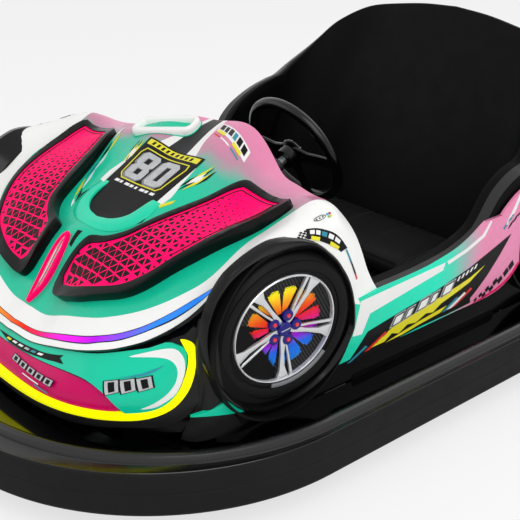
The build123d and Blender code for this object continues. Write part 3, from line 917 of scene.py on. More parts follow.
FINISHES: dict[str, Finish] = {f.name: f for f in (
    Finish("shell_white", "F6F6F4", 0.3, level=0.35, coat=0.15, mottle=0.006, uneven=0.03, depth=0.00001),
    Finish("white_print", "F1F1EF", 0.34, mottle=0.015),
    FadeFinish("bonnet_paint", "14CFA6", 0.3, level=0.2, coat=0.12, mottle=0.04, depth=0.00001,
               stops=BODY_FADE, wander=0.012),
    # lighter teal than the bonnet's paint: painted light on the flank
    FadeFinish("sill_lit_paint", "1FE0B8", 0.3, level=0.15, coat=0.08, mottle=0.03, depth=0.00001,
               stops=SILL_LIT_FADE, wander=0.008),
    Finish("fascia_teal", "08CBA4", 0.22, level=0.2, coat=0.15, mottle=0.04, depth=0.00001),
    Finish("rear_pink", "F08CB5", 0.3, level=0.2, coat=0.12, mottle=0.02, depth=0.00001),
    Finish("fascia_magenta", "CC005E", 0.3, level=0.15, coat=0.08, mottle=0.05),
    Finish("magenta_print", "E30562", 0.3, level=0.15, mottle=0.05),
    FadeFinish("rainbow_print", "FF0ACD", 0.35, level=0.15, glow=0.3, way=(1, 0, 0), stops=RAINBOW),
    Finish("gloss_black", "060607", 0.2, level=0.22, coat=0.08, mottle=0.1, uneven=0.04, depth=0.00001),
    Finish("lamp_black", "060607", 0.2, level=0.16, mottle=0.1, depth=0.00001),
    Finish("lamp_pink", "FF0062", 0.4, level=0.06, mottle=0.03, glow=0.30),
    Finish("trim_grey", "181819", 0.42, level=0.2, mottle=0.08, grain=700, depth=0.00005),
    Finish("black_print", "0E0E0F", 0.36, level=0.12, mottle=0.08),
    Finish("stripe_grey", "242527", 0.34, level=0.18, mottle=0.08),
    Finish("yellow_light", "FFFF00", 0.3, level=0.1, mottle=0.02, glow=0.45),
    Finish("yellow_print", "E9DF12", 0.36, mottle=0.05),
    Finish("red_print", "D8201C", 0.36, mottle=0.05),
    Finish("blue_print", "1E8AA0", 0.36, mottle=0.05),
    Finish("chrome_print", "B9BBBD", 0.3, mottle=0.12, cloud=60.0),
    Finish("grey_print", "77797C", 0.34, mottle=0.08),
    Finish("cyan_print", "2AA7DC", 0.36, mottle=0.05),
    Finish("green_print", "7FB93C", 0.36, mottle=0.05),
    # lighter than the bonnet's teal: a painted highlight on the raised surround
    Finish("surround_highlight_teal", "14D8AE", 0.26, level=0.25, coat=0.15, mottle=0.03, depth=0.00001),
    Finish("tray_teal", "08C8A0", 0.3, level=0.2, mottle=0.04),
    Finish("wheel_gloss", "050506", 0.2, level=0.3, coat=0.1, mottle=0.1, uneven=0.05, grain=500,
           depth=0.00004),
    Finish("tub_black", "0A0A0B", 0.45, level=0.06, mottle=0.12, grain=500, depth=0.00006),
    # paler grey of the tub rim's band: a painted highlight on the rim's slope
    Finish("rim_highlight_grey", "232324", 0.38, level=0.3, mottle=0.08),
    Finish("moulded_black", "0D0D0E", 0.5, level=0.08, mottle=0.1, grain=420, depth=0.0002),
    TreadFinish("bumper_rubber", "151516", 0.6, level=0.14, mottle=0.1, grain=700, depth=0.0001),
    TreadFinish("tyre_rubber", "0D0D0E", 0.45, level=0.12, mottle=0.1),
    Finish("deck_gloss", "020203", 0.055, level=0.9, coat=0.35, mottle=0.1, uneven=0.012, depth=0.00001),
    Finish("ridge_gloss", "0B0B0C", 0.22, level=0.5, mottle=0.1),
    MetalFinish("rim_silver", "D6D7D9", 0.24, 0.6, mottle=0.04, depth=0.00002),
    CarbonFinish("carbon_ground", "1A1A1B", 0.42, level=0.15),
    Finish("hub_navy", "1C1A78", 0.28, level=0.2, coat=0.1, mottle=0.08),
    Finish("nut_red", "E8323C", 0.3, coat=0.2, mottle=0.06),
    Finish("clear_lens", "A9C2BB", 0.12, level=0.6, mottle=0.12, cloud=60.0),
    Finish("red_lens", "C8141E", 0.14, level=0.6, coat=0.5, mottle=0.08, glow=0.08),
    LeatherFinish("cushion_cover", "0F0F10", 0.5, level=0.12, mottle=0.1),
    Finish("thread", "3A3A3C", 0.7, mottle=0.1, grain=2500, depth=0.0001),
    MetalFinish("frame_steel", "26282B", 0.45, 0.2, mottle=0.12, depth=0.0001),
    MetalFinish("axle_steel", "8E9194", 0.3, 0.9, mottle=0.1, depth=0.00005),
    PlateFinish("sheet_steel", "232425", 0.5, 0.3, mottle=0.12),
    Finish("battery_case", "17181A", 0.5, mottle=0.12),
    Finish("drive_iron", "3A3D40", 0.5, 0.6, mottle=0.15, grain=240, depth=0.0003),
    Finish("hub_grey", "6C6F72", 0.42, 0.5, mottle=0.12, grain=300, depth=0.0001),
)}
MADE: dict[str, bpy.types.Material] = {}


def material(name: str) -> bpy.types.Material:
    """The material of a finish, made when it is first asked for.

    Args:
        name: The finish's name.

    Returns:
        The material.
    """
    if name not in MADE:
        MADE[name] = FINISHES[name].build()
    return MADE[name]


def dress(piece: bpy.types.Object, name: str) -> bpy.types.Object:
    """Puts a finish on the whole of a piece.

    Args:
        piece: The piece.
        name: The finish's name.

    Returns:
        The same piece.
    """
    piece.data.materials.clear()
    piece.data.materials.append(material(name))
    return piece


def fit(piece: bpy.types.Object, slot: str, nodes: Sequence[str] = (),
        body: str = "chassis") -> bpy.types.Object:
    """Hands a finished piece over to the frame.

    Args:
        piece: The piece, in place.
        slot: The record's finish that it takes; it is not used.
        nodes: The parts it stands for.
        body: The body it moves with.

    Returns:
        The same piece.
    """
    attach(piece, body)
    if nodes:
        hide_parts(*nodes)
    LOG.info("%s: %d faces, moves with %s", piece.name, len(piece.data.polygons), body)
    return piece


def fit_both(piece: bpy.types.Object, slot: str, near: Sequence[str] = (), far: Sequence[str] = ()) -> None:
    """Fits a piece of the left side and its twin on the right.

    Args:
        piece: The piece on the left, in place and dressed.
        slot: The record's finish that both take.
        near: The parts that the left one stands for.
        far: The parts that its twin stands for.
    """
    fit(piece, slot, near)
    fit(other_side(piece), slot, far)


# ---- front body ---------------------------------------------------------------------
BONNET_POINTS = (
    (0, -.838, .310), (0, -.800, .340), (0, -.752, .374), (0, -.700, .428), (0, -.641, .500),
    (0, -.580, .514), (0, -.520, .537), (0, -.430, .583), (0, -.335, .626), (0, -.222, .672),
    (.130, -.818, .318), (.130, -.785, .352), (.250, -.785, .345), (.250, -.750, .380), (.330, -.690, .410),
    (.390, -.620, .470), (.450, -.570, .530), (.330, -.725, .382), (.240, -.350, .610), (.387, -.340, .598),
    (.062, -.729, .390), (.052, -.629, .495), (.120, -.740, .395), (.235, -.692, .432), (.320, -.600, .492),
    (.355, -.523, .531), (.385, -.432, .566), (.250, -.250, .612), (.300, -.255, .603), (.370, -.265, .598),
    (.120, -.320, .645), (.100, -.420, .590), (.170, -.400, .588), (.430, -.310, .615), (.450, -.400, .598),
    (.455, -.480, .585), (.430, -.270, .600),
)
# the fender rolls over from the crest and down the flank: place, then how far down its wall
FENDER_POINTS = (
    (.474, -.593, .546, 0), (.470, -.630, .505, .02), (.484, -.536, .576, .004), (.490, -.497, .586, .006),
    (.497, -.442, .584, .012), (.480, -.400, .594, .004), (.502, -.399, .568, .028), (.478, -.358, .597, .0),
    (.498, -.357, .568, .03), (.504, -.356, .534, .065), (.465, -.318, .604, .0), (.490, -.318, .580, .026),
    (.502, -.318, .530, .074), (.506, -.318, .488, .112), (.505, -.294, .441, .16), (.503, -.285, .400, .20),
    (.455, -.262, .580, .022), (.474, -.232, .528, .074), (.484, -.205, .460, .142),
    (.491, -.180, .400, .202), (.494, -.135, .368, .232), (.498, -.230, .380, .22),
)


def both_sides(rows: Sequence[Sequence[float]]) -> tuple[np.ndarray, np.ndarray]:
    """Plan numbers and places of listed points, for the left and the right.

    Args:
        rows: x, y, z of each point, and how far it lies down a side wall if it does.

    Returns:
        The plan numbers and the places.
    """
    plan, places = [], []
    for x, y, z, *drop in rows:
        for side in (1, -1) if x else (1,):
            plan.append((side * (x + (drop[0] if drop else 0)), y))
            places.append((side * x, y, z))
    return np.array(plan), np.array(places)


# the hump before the wheel stands higher on the left
HUMP = np.array(((.100, -.232, .690), (.170, -.240, .675), (.215, -.245, .640), (-.100, -.232, .664),
                 (-.170, -.240, .642), (-.215, -.245, .622)))
PLAN, PLACES = both_sides((*BONNET_POINTS, *FENDER_POINTS))
UPPER = Skin(np.vstack([PLAN, HUMP[:, :2]]), np.vstack([PLACES, HUMP]))

# lines on the upper skin, from the middle to the left
PAINT_EDGE = ((0, -.7605), (.078, -.7560), (.125, -.7515), (.168, -.7435), (.200, -.734), (.226, -.723),
              (.250, -.708), (.272, -.692), (.312, -.659), (.350, -.624), (.380, -.584), (.392, -.545),
              (.396, -.500), (.398, -.440), (.402, -.380), (.411, -.330), (.425, -.287))
RAINBOW_HIGH = ((0, -.7935), (.080, -.7865), (.122, -.7815), (.162, -.7745), (.198, -.7655), (.228, -.755),
                (.254, -.742), (.276, -.728), (.296, -.712), (.334, -.676), (.371, -.640), (.403, -.605),
                (.432, -.577), (.462, -.560))
RAINBOW_LOW = ((0, -.8025), (.091, -.7945), (.136, -.7895), (.176, -.7830), (.210, -.7745), (.239, -.764),
               (.264, -.750), (.287, -.736), (.307, -.720), (.345, -.684), (.387, -.652), (.430, -.616),
               (.474, -.584))
BAND_FOOT = ((0, -.8140), (.072, -.8090), (.106, -.8050), (.148, -.7985), (.187, -.7910), (.220, -.782),
             (.249, -.771), (.276, -.758), (.299, -.744), (.320, -.728), (.340, -.712), (.362, -.695),
             (.384, -.678), (.410, -.660), (.450, -.634), (.486, -.606))
COWL_EDGE = ((.425, -.287), (.40, -.268), (.37, -.262), (.30, -.254), (.25, -.248), (.215, -.243),
             (.17, -.238), (.10, -.230), (.05, -.224), (0, -.221))
ARCH_TOP = ((.474, -.578), (.480, -.558), (.488, -.536), (.496, -.497), (.509, -.442), (.520, -.410),
            (.530, -.399), (.569, -.355), (.618, -.3165), (.665, -.2915), (.703, -.2805))
FENDER_FOOT = ((.703, -.2805), (.716, -.235), (.722, -.180), (.728, -.112))
FENDER_REAR = ((.728, -.112), (.722, -.142), (.712, -.168), (.690, -.193), (.640, -.221), (.600, -.235),
               (.548, -.251), (.477, -.274), (.425, -.287))


@dataclass
class FrontBody:
    """Bonnet, white band, fenders and the rainbow strip, all cut from one skin."""

    thick: float = 0.007
    facet: float = 0.014
    # where the fender begins beside the bonnet, as a place along the car
    fender_start: float = -0.56
    # how much of the rainbow strip's width its dark lines take, and of the lower band's width its rim
    line_share: float = 0.14
    rim_share: float = 0.10

    def build(self) -> None:
        """Makes and dresses the panels."""
        edge = curve_through(PAINT_EDGE, 6)
        cowl = curve_through(COWL_EDGE, 4)
        left = np.vstack([edge, cowl[1:-1]])
        bonnet = panel("bonnet_panel", UPPER, np.vstack([left, flipped(left[::-1])[:-1]]), self.thick,
                       step=self.facet)
        fit(dress(bonnet, "bonnet_paint"), "shell_teal", ["bonnet"])
        high = curve_through(RAINBOW_HIGH, 6)
        low = curve_through(RAINBOW_LOW, 6)
        foot = curve_through(BAND_FOOT, 6)
        upper_line = self.between(high, low, self.line_share)
        lower_line = self.between(high, low, 1 - self.line_share)
        rim = self.between(low, foot, 1 - self.rim_share)
        strips = (
            ("band_upper", edge[:curve_at(edge, self.fender_start)], high, "shell_white", "shell_white", 0.0),
            ("band_line_high", high, upper_line, "black_print", "trim_black", 0.0004),
            ("rainbow_strip", upper_line, lower_line, "rainbow_print", "light_strip", 0.0008),
            ("band_line_low", lower_line, low, "black_print", "trim_black", 0.0004),
            ("band_lower", low, rim, "shell_white", "shell_white", 0.0),
            ("band_rim", rim, foot, "gloss_black", "trim_black", -0.0004),
        )
        for name, upper, lower, finish, slot, lift in strips:
            piece = panel(name, UPPER, between_lines(upper, lower), self.thick, lift, self.facet)
            fit(dress(piece, finish), slot, ["light_band"] if name == "band_upper" else [])
        self.fenders(edge, high)

    def between(self, upper: np.ndarray, lower: np.ndarray, share: float) -> np.ndarray:
        """A line part of the way from one line to another.

        Args:
            upper: The first line.
            lower: The second line.
            share: How far along, from 0 to 1.

        Returns:
            A line of as many places as the first.
        """
        at = np.linspace(0, 1, len(upper))
        own = np.linspace(0, 1, len(lower))
        other = np.column_stack([np.interp(at, own, lower[:, k]) for k in (0, 1)])
        return upper + (other - upper) * share

    def fenders(self, edge: np.ndarray, high: np.ndarray) -> None:
        """The white fenders, from the crest to the arch and back to the sill.

        Args:
            edge: The line where the bonnet's paint ends.
            high: The rainbow strip's upper line, where the fender begins.
        """
        inner = edge[curve_at(edge, self.fender_start) - 1:]
        outline = np.vstack([inner[::-1], high[-1:], curve_through(ARCH_TOP, 4),
                             curve_through(FENDER_FOOT, 4)[1:], curve_through(FENDER_REAR, 4)[1:-1]])
        piece = panel("fender_panel_left", UPPER, outline, self.thick, step=0.012)
        fit_both(dress(piece, "shell_white"), "shell_white", ["front_fender_left"], ["front_fender_right"])


def curve_at(line: np.ndarray, y: float) -> int:
    """The number of the first place of a line that lies behind a station along the car."""
    return int(np.argmax(line[:, 1] > y)) + 1


# ---- stage --------------------------------------------------------------------------
@dataclass
class Stage:
    """Pale floor, soft studio light and the camera."""

    azimuth: float = 48.8
    elevation: float = 23.8
    place: tuple[float, float, float] = (1.930, -1.785, 1.410)
    lens: float = 76.15
    # the world's light on the car, half the floor's width, and the share of it that glows for the camera
    world: float = 0.62
    reach: float = 30.0
    glow: float = 0.7

    def build(self) -> None:
        """Makes the camera, the lamps, the world and the floor."""
        self.camera()
        self.lamp("key_light", (2.6, -1.4, 3.0), 3.0, 62)
        self.lamp("fill_light", (-2.4, -2.8, 2.2), 3.0, 16)
        self.lamp("back_light", (0.4, 3.2, 2.8), 3.0, 26)
        self.surroundings()
        self.floor()

    def camera(self) -> None:
        """The camera at the set angle."""
        seen = placed("camera", bpy.data.cameras.new("camera"))
        seen.data.lens = self.lens
        seen.data.clip_end = 100
        turn, tip = math.radians(self.azimuth), math.radians(self.elevation)
        right = Vector((math.cos(turn), math.sin(turn), 0))
        back = Vector((math.sin(turn) * math.cos(tip), -math.cos(turn) * math.cos(tip), math.sin(tip)))
        up = back.cross(right)
        seen.matrix_world = Matrix.Translation(self.place) @ Matrix((right, up, back)).transposed().to_4x4()
        bpy.context.scene.camera = seen

    def lamp(self, name: str, place: Sequence[float], size: float, power: float) -> None:
        """A large soft lamp that faces the car.

        Args:
            name: The lamp's name.
            place: Where it hangs.
            size: Its side.
            power: Its power in watts.
        """
        light = placed(name, bpy.data.lights.new(name, "AREA"))
        light.data.size = size
        light.data.energy = power
        light.location = place
        middle_of_car = Vector((0, 0, 0.3))
        light.rotation_euler = (middle_of_car - Vector(place)).to_track_quat("-Z", "Y").to_euler()

    def surroundings(self) -> None:
        """A pale world that is white where the camera, gloss and glass see it."""
        world = bpy.data.worlds.new("studio")
        bpy.context.scene.world = world
        world.use_nodes = True
        tree = world.node_tree
        sky = tree.nodes["Background"]
        rays = tree.nodes.new("ShaderNodeLightPath")
        seen = rays.outputs["Is Camera Ray"]
        for kind in ("Is Glossy Ray", "Is Transmission Ray"):
            either = tree.nodes.new("ShaderNodeMath")
            either.operation = "MAXIMUM"
            tree.links.new(seen, either.inputs[0])
            tree.links.new(rays.outputs[kind], either.inputs[1])
            seen = either.outputs[0]
        level = tree.nodes.new("ShaderNodeMapRange")
        level.inputs["To Min"].default_value = self.world
        level.inputs["To Max"].default_value = 1.0
        tree.links.new(seen, level.inputs["Value"])
        tree.links.new(level.outputs["Result"], sky.inputs["Strength"])
        sky.inputs["Color"].default_value = (1, 1, 1, 1)

    def floor(self) -> None:
        """A wide pale floor that keeps the car's shadow."""
        corners = [(x * self.reach, y * self.reach, 0) for x, y in ((-1, -1), (1, -1), (1, 1), (-1, 1))]
        piece = new_piece("floor", corners, [(0, 1, 2, 3)])
        finish = bpy.data.materials.new("floor_white")
        finish.use_nodes = True
        tree = finish.node_tree
        shader = tree.nodes["Principled BSDF"]
        shader.inputs["Base Color"].default_value = (0.9, 0.9, 0.9, 1)
        shader.inputs["Roughness"].default_value = 0.9
        shader.inputs["Specular IOR Level"].default_value = 0.0
        glow = tree.nodes.new("ShaderNodeEmission")
        rays = tree.nodes.new("ShaderNodeLightPath")
        share = tree.nodes.new("ShaderNodeMath")
        share.operation = "MULTIPLY"
        share.inputs[1].default_value = self.glow
        tree.links.new(rays.outputs["Is Camera Ray"], share.inputs[0])
        mixed = tree.nodes.new("ShaderNodeMixShader")
        tree.links.new(share.outputs[0], mixed.inputs[0])
        tree.links.new(shader.outputs[0], mixed.inputs[1])
        tree.links.new(glow.outputs[0], mixed.inputs[2])
        tree.links.new(mixed.outputs[0], tree.nodes["Material Output"].inputs[0])
        piece.data.materials.append(finish)


# ---- surfaces with a rule -----------------------------------------------------------
class Flat(Skin):
    """A flat face in space, with its two plan directions."""

    def __init__(self, centre: Sequence[float], ahead: Sequence[float], above: Sequence[float]) -> None:
        """Keeps the face's place.

        Args:
            centre: Where the plan's zero lies.
            ahead: Direction of the first plan number.
            above: Direction of the second plan number.
        """
        self.centre = np.array(centre, float)
        self.ahead = np.array(Vector(ahead).normalized())
        self.above = np.array(Vector(above).normalized())

    def at(self, plan: Line) -> np.ndarray:
        """Places on the face."""
        p = np.array(plan, float).reshape(-1, 2)
        return self.centre + p[:, :1] * self.ahead + p[:, 1:] * self.above


@dataclass
class Stretched(Skin):
    """Another skin with the plan drawn wider across the car."""

    base: Skin
    wide: float

    def at(self, plan: Line) -> np.ndarray:
        """Places on the base skin, with the first plan number drawn wider."""
        return self.base.at(np.array(plan, float).reshape(-1, 2) * (self.wide, 1))


class RoundedWall(Skin):
    """An upright wall with rounded rear corners: station along the side and round the tail, and height.

    A station ahead of `straight` is the place along the car itself; 1 is the middle of the tail.
    """

    straight = 0.40

    def __init__(self) -> None:
        """Has no knots: the wall follows a rule."""

    def sizes(self, z: np.ndarray) -> Sequence[np.ndarray]:
        """Half width, place of the tail and corner radius at each height."""
        raise NotImplementedError(f"no sizes at {z}")

    def measures(self, z: np.ndarray) -> tuple[np.ndarray, ...]:
        """The wall's measures at each height.

        Args:
            z: Heights.

        Returns:
            Half width, place of the tail, corner radius, and the wall's length from `straight` to the corner
            and to the middle of the tail.
        """
        half, tail, corner = self.sizes(z)
        run = tail - corner - self.straight
        return half, tail, corner, run, run + corner * np.pi / 2 + half - corner

    def narrowing(self, s: np.ndarray) -> np.ndarray:
        """How far the side is drawn in at a station."""
        return np.zeros(len(s))

    def at(self, plan: Line) -> np.ndarray:
        """Places on the wall.

        Args:
            plan: Station and height of each point.

        Returns:
            Three numbers for each point.
        """
        s, z = np.array(plan, float).reshape(-1, 2).T
        half, tail, corner, run, length = self.measures(z)
        done = (s - self.straight) / (1 - self.straight) * length
        turn = np.clip((done - run) / corner, 0, np.pi / 2)
        flat = np.maximum(done - run - corner * np.pi / 2, 0)
        x = half - corner + corner * np.cos(turn) - flat
        y = np.where(done < run, self.straight + done, tail - corner + corner * np.sin(turn))
        ahead = s < self.straight
        return np.column_stack([np.where(ahead, half - self.narrowing(s), x), np.where(ahead, s, y), z])


# z, half width, y of the tail and corner radius of the body's wall
WALL_LEVELS = ((.168, .464, .805, .230), (.225, .474, .836, .240), (.300, .490, .850, .246),
               (.375, .4985, .838, .250), (.450, .501, .805, .250), (.540, .500, .745, .245),
               (.620, .497, .685, .238), (.720, .490, .606, .230))


class BodyWall(RoundedWall):
    """The wall of the lower body, drawn in towards the nose."""

    nose_turn = -0.51
    nose_corner = 0.28

    def __init__(self) -> None:
        """Smooths the levels."""
        self.levels = curve_through(WALL_LEVELS, 6)

    def sizes(self, z: np.ndarray) -> Sequence[np.ndarray]:
        """Half width, place of the tail and corner radius at each height."""
        return [np.interp(z, self.levels[:, 0], self.levels[:, k]) for k in (1, 2, 3)]

    def station(self, y: np.ndarray, z: np.ndarray) -> np.ndarray:
        """The station at which the wall passes a place along the car.

        Args:
            y: Places along the car.
            z: Heights.

        Returns:
            Stations; 1 is the middle of the tail.
        """
        _, tail, corner, run, length = self.measures(z)
        turn = np.arcsin(np.clip((y - tail + corner) / corner, 0, 1))
        done = np.where(y < tail - corner, y - self.straight, run + corner * turn)
        return np.where(y < self.straight, y, self.straight + (1 - self.straight) * done / length)

    def narrowing(self, s: np.ndarray) -> np.ndarray:
        """How far the side is drawn in at a station: a round corner at the nose."""
        past = np.minimum(s - self.nose_turn, 0)
        return self.nose_corner - np.sqrt(np.maximum(self.nose_corner ** 2 - past ** 2, 1e-6))

    def loop(self, line: Line) -> np.ndarray:
        """A side view (y, z) line, in the wall's own plan numbers."""
        p = np.array(line, float)
        return np.column_stack([self.station(p[:, 0], p[:, 1]), p[:, 1]])


WALL = BodyWall()

# u, v of each point, then its place: from the middle to the arch, from the foot to the band
FASCIA_POINTS = (
    (0, 0, 0, -.826, .200), (.25, 0, .110, -.821, .200), (.5, 0, .220, -.797, .200),
    (.75, 0, .330, -.730, .200), (1, 0, .416, -.640, .202), (0, .5, 0, -.842, .262),
    (.25, .5, .110, -.841, .265), (.5, .5, .222, -.822, .272), (.75, .5, .336, -.752, .286),
    (1, .5, .432, -.640, .312), (0, 1, 0, -.806, .325), (.25, 1, .110, -.801, .328),
    (.5, 1, .220, -.772, .350), (.75, 1, .330, -.704, .396), (1, 1, .430, -.624, .452),
)
FASCIA = Skin(*(np.array(rows) for rows in zip(*(
    ((side * u, v), (side * x, y, z)) for u, v, x, y, z in FASCIA_POINTS
    for side in ((1, -1) if u else (1,))))))


# ---- repeated small pieces ----------------------------------------------------------
class StudTree:
    """Geometry nodes that stand one small tapered stud on every point of a guide."""

    sockets = (("Sides", "NodeSocketInt"), ("Foot Radius", "NodeSocketFloat"),
               ("Top Radius", "NodeSocketFloat"), ("Height", "NodeSocketFloat"),
               ("Finish", "NodeSocketMaterial"))

    def __init__(self) -> None:
        """Builds the tree once."""
        tree = bpy.data.node_groups.new("studs_on_points", "GeometryNodeTree")
        self.tree = tree
        tree.interface.new_socket("Geometry", in_out="INPUT", socket_type="NodeSocketGeometry")
        self.keys = {name: tree.interface.new_socket(name, in_out="INPUT", socket_type=kind).identifier
                     for name, kind in self.sockets}
        tree.interface.new_socket("Geometry", in_out="OUTPUT", socket_type="NodeSocketGeometry")
        given, out = self.node("NodeGroupInput"), self.node("NodeGroupOutput")
        stud = self.node("GeometryNodeMeshCone")
        for key, name in (("Vertices", "Sides"), ("Radius Bottom", "Foot Radius"),
                          ("Radius Top", "Top Radius"), ("Depth", "Height")):
            tree.links.new(given.outputs[name], stud.inputs[key])
        facing = self.read("facing", "FLOAT_VECTOR")
        stand = self.node("FunctionNodeAlignRotationToVector")
        tree.links.new(facing, stand.inputs["Vector"])
        turn = self.node("FunctionNodeAxisAngleToRotation")
        tree.links.new(self.read("spin", "FLOAT"), turn.inputs["Angle"])
        spin = self.node("FunctionNodeRotateRotation")
        spin.rotation_space = "LOCAL"
        tree.links.new(stand.outputs[0], spin.inputs[0])
        tree.links.new(turn.outputs[0], spin.inputs[1])
        place = self.node("GeometryNodeInstanceOnPoints")
        tree.links.new(given.outputs["Geometry"], place.inputs["Points"])
        tree.links.new(stud.outputs["Mesh"], place.inputs["Instance"])
        tree.links.new(spin.outputs[0], place.inputs["Rotation"])
        tree.links.new(self.read("size", "FLOAT"), place.inputs["Scale"])
        real = self.node("GeometryNodeRealizeInstances")
        tree.links.new(place.outputs[0], real.inputs[0])
        dressed = self.node("GeometryNodeSetMaterial")
        tree.links.new(real.outputs[0], dressed.inputs["Geometry"])
        tree.links.new(given.outputs["Finish"], dressed.inputs["Material"])
        tree.links.new(dressed.outputs[0], out.inputs[0])

    def node(self, kind: str) -> bpy.types.Node:
        """Adds a node to the tree."""
        return self.tree.nodes.new(kind)

    def read(self, name: str, kind: str) -> Socket:
        """The socket of a named number on the guide's points.

        Args:
            name: The number's name.
            kind: Its data type.

        Returns:
            The socket.
        """
        node = self.node("GeometryNodeInputNamedAttribute")
        node.data_type = kind
        node.inputs["Name"].default_value = name
        return node.outputs["Attribute"]


@dataclass(frozen=True)
class Stud:
    """The shape of one repeated stud."""

    sides: int
    foot: float
    top: float
    height: float

    def on(self, name: str, places: np.ndarray, facing: np.ndarray, finish: str,
           size: np.ndarray | float = 1.0, spin: np.ndarray | float = 0.0) -> bpy.types.Object:
        """Stands a stud on every place.

        Args:
            name: The piece's name.
            places: Where the studs stand.
            facing: The direction in which each stud stands up.
            finish: The finish's name.
            size: Scale of each stud.
            spin: Turn of each stud about its own axis, in radians.

        Returns:
            One plain mesh with all the studs.
        """
        if not STUD_TREE:
            STUD_TREE.append(StudTree())
        nodes = STUD_TREE[0]
        guide = bpy.data.meshes.new(name)
        guide.from_pydata([tuple(map(float, p)) for p in places], [], [])
        count = len(places)
        facing_data = guide.attributes.new("facing", "FLOAT_VECTOR", "POINT")
        facing_data.data.foreach_set("vector", np.array(facing, np.float32).ravel())
        for key, value in (("size", size), ("spin", spin)):
            data = guide.attributes.new(key, "FLOAT", "POINT")
            data.data.foreach_set("value", np.array(np.broadcast_to(value, count), np.float32))
        piece = placed(name, guide)
        grow = piece.modifiers.new("studs", "NODES")
        grow.node_group = nodes.tree
        for key, value in (("Sides", self.sides), ("Foot Radius", self.foot), ("Top Radius", self.top),
                           ("Height", self.height), ("Finish", material(finish))):
            grow[nodes.keys[key]] = value
        settle(piece)
        for key in ("size", "spin", "facing"):
            if key in piece.data.attributes:
                piece.data.attributes.remove(piece.data.attributes[key])
        return piece


# the one tree that all studs share, once it is built
STUD_TREE: list[StudTree] = []


# ---- bumper and deck ----------------------------------------------------------------
# half width, end and corner radius of the bumper's plan, and the deck's height
HOOP_HALF = 0.575
HOOP_END = 0.975
HOOP_CORNER = 0.400
DECK_LEVEL = .1678


def bumper_line(inset: float, nose_inset: float, z: float) -> np.ndarray:
    """The bumper's plan, drawn in from its outer face, at one height.

    Args:
        inset: How far in at the sides and the tail.
        nose_inset: How far in at the nose.
        z: The height.

    Returns:
        A closed row of places; every row has the same count.
    """
    half, corner = HOOP_HALF - inset, HOOP_CORNER - inset
    front = -HOOP_END + nose_inset + half
    tail = HOOP_END - inset
    rows = [(half * math.cos(t), front - half * math.sin(t), z) for t in np.linspace(math.pi, 0, 97)]
    rows += [(half, y, z) for y in np.linspace(front, tail - corner, 41)[1:-1]]
    rows += [(half - corner + corner * math.cos(t), tail - corner + corner * math.sin(t), z)
             for t in np.linspace(0, math.pi / 2, 33)]
    rows += [(x, tail, z) for x in np.linspace(half - corner, corner - half, 15)[1:-1]]
    rows += [(corner - half - corner * math.sin(t), tail - corner + corner * math.cos(t), z)
             for t in np.linspace(0, math.pi / 2, 33)]
    rows += [(-half, y, z) for y in np.linspace(tail - corner, front, 41)[1:-1]]
    return np.array(rows)


@dataclass
class Bumper:
    """Rubber ring with a glossy top band and ridge, and the glossy deck inside it."""

    nose_extra: float = 0.022
    # how far the deck's inner edge lies inside the bumper's face, also at the nose, and its place at the tail
    deck_inset: tuple[float, float] = (.123, .200)
    deck_end: float = .785
    # sections from the foot up: inset and height of the face; inset, share of the nose's extra and height
    face: Corners = (
        (.050, .062), (.012, .060), (.004, .0625), (.0, .069), (.0, .112), (.0008, .1135), (.0008, .1155),
        (.0, .117), (.0, .152), (.0015, .158), (.006, .1605), (.018, .1605), (.050, .1605))
    band: tuple[tuple[float, float, float], ...] = (
        (.0062, 0, .1606), (.0075, 0, .1618), (.0185, .9, .1622), (.0205, 1, .1640), (.0225, 1, .1715),
        (.0265, 1, .1780), (.0325, 1, .1815), (.0375, 1, .1820), (.0425, 1, .1800), (.0462, 1, .1750),
        (.0478, 1, .1690), (.0480, 1, .1600), (.0300, 1, .1600))

    def build(self) -> None:
        """Makes and dresses the ring's two pieces and the deck."""
        rows = [bumper_line(inset, inset, z) for inset, z in self.face]
        fit(dress(self.hoop("bumper_face", rows), "bumper_rubber"), "bumper_rubber", ["bumper_ring"])
        rows = [bumper_line(inset, inset + share * self.nose_extra, z) for inset, share, z in self.band]
        fit(dress(self.hoop("bumper_band", rows), "ridge_gloss"), "bumper_rubber")
        self.deck()

    def hoop(self, name: str, rows: Sequence[np.ndarray]) -> bpy.types.Object:
        """A closed hoop through rows that each run right round the car."""
        return lofted(name, rows, loop=True, ring=True, crease=28)

    def deck(self) -> None:
        """The mirror-like deck between the ridge and the body, with its turned-down inner edge."""
        outer_inset = .0475
        edge = bumper_line(outer_inset, outer_inset + self.nose_extra, DECK_LEVEL)
        inner = bumper_line(*self.deck_inset, DECK_LEVEL)
        inner[:, 1] = np.minimum(inner[:, 1], self.deck_end)
        rows = []
        for share, drop in ((0, .006), (0, 0), (.02, -.0002), (.5, -.0002), (.98, -.0002), (1, 0), (1, .030),
                            (.985, .030), (.985, .006)):
            row = edge + (inner - edge) * share
            row[:, 2] = DECK_LEVEL - drop
            rows.append(row)
        deck = lofted("bumper_deck_top", rows, loop=True, ring=True, crease=40)
        fit(dress(deck, "deck_gloss"), "deck_gloss", ["bumper_deck"])


# ---- lower body ---------------------------------------------------------------------
ARCH_FRONT = (-.445, .385)
ARCH_REAR = (.505, .385)
REAR_EDGE = .193
# turn about the wheel (0 towards the nose, 90 up), radius and x of the front arch's edge
ARCH_EDGE = (
    (-90, .176, .472), (-70, .176, .474), (-50, .178, .475), (-30, .182, .475), (-13, .188, .474),
    (5, .195, .471), (20, .206, .471), (34, .215, .475), (47, .219, .481), (64, .2115, .488),
    (76, .2090, .492), (89, .199, .498), (104, .1887, .503), (121, .1735, .5055), (141, .1640, .5075),
    (160, .1625, .507), (171, .1640, .506), (182, .170, .503), (195, .180, .499), (215, .182, .491),
    (240, .179, .481), (270, .176, .472),
)


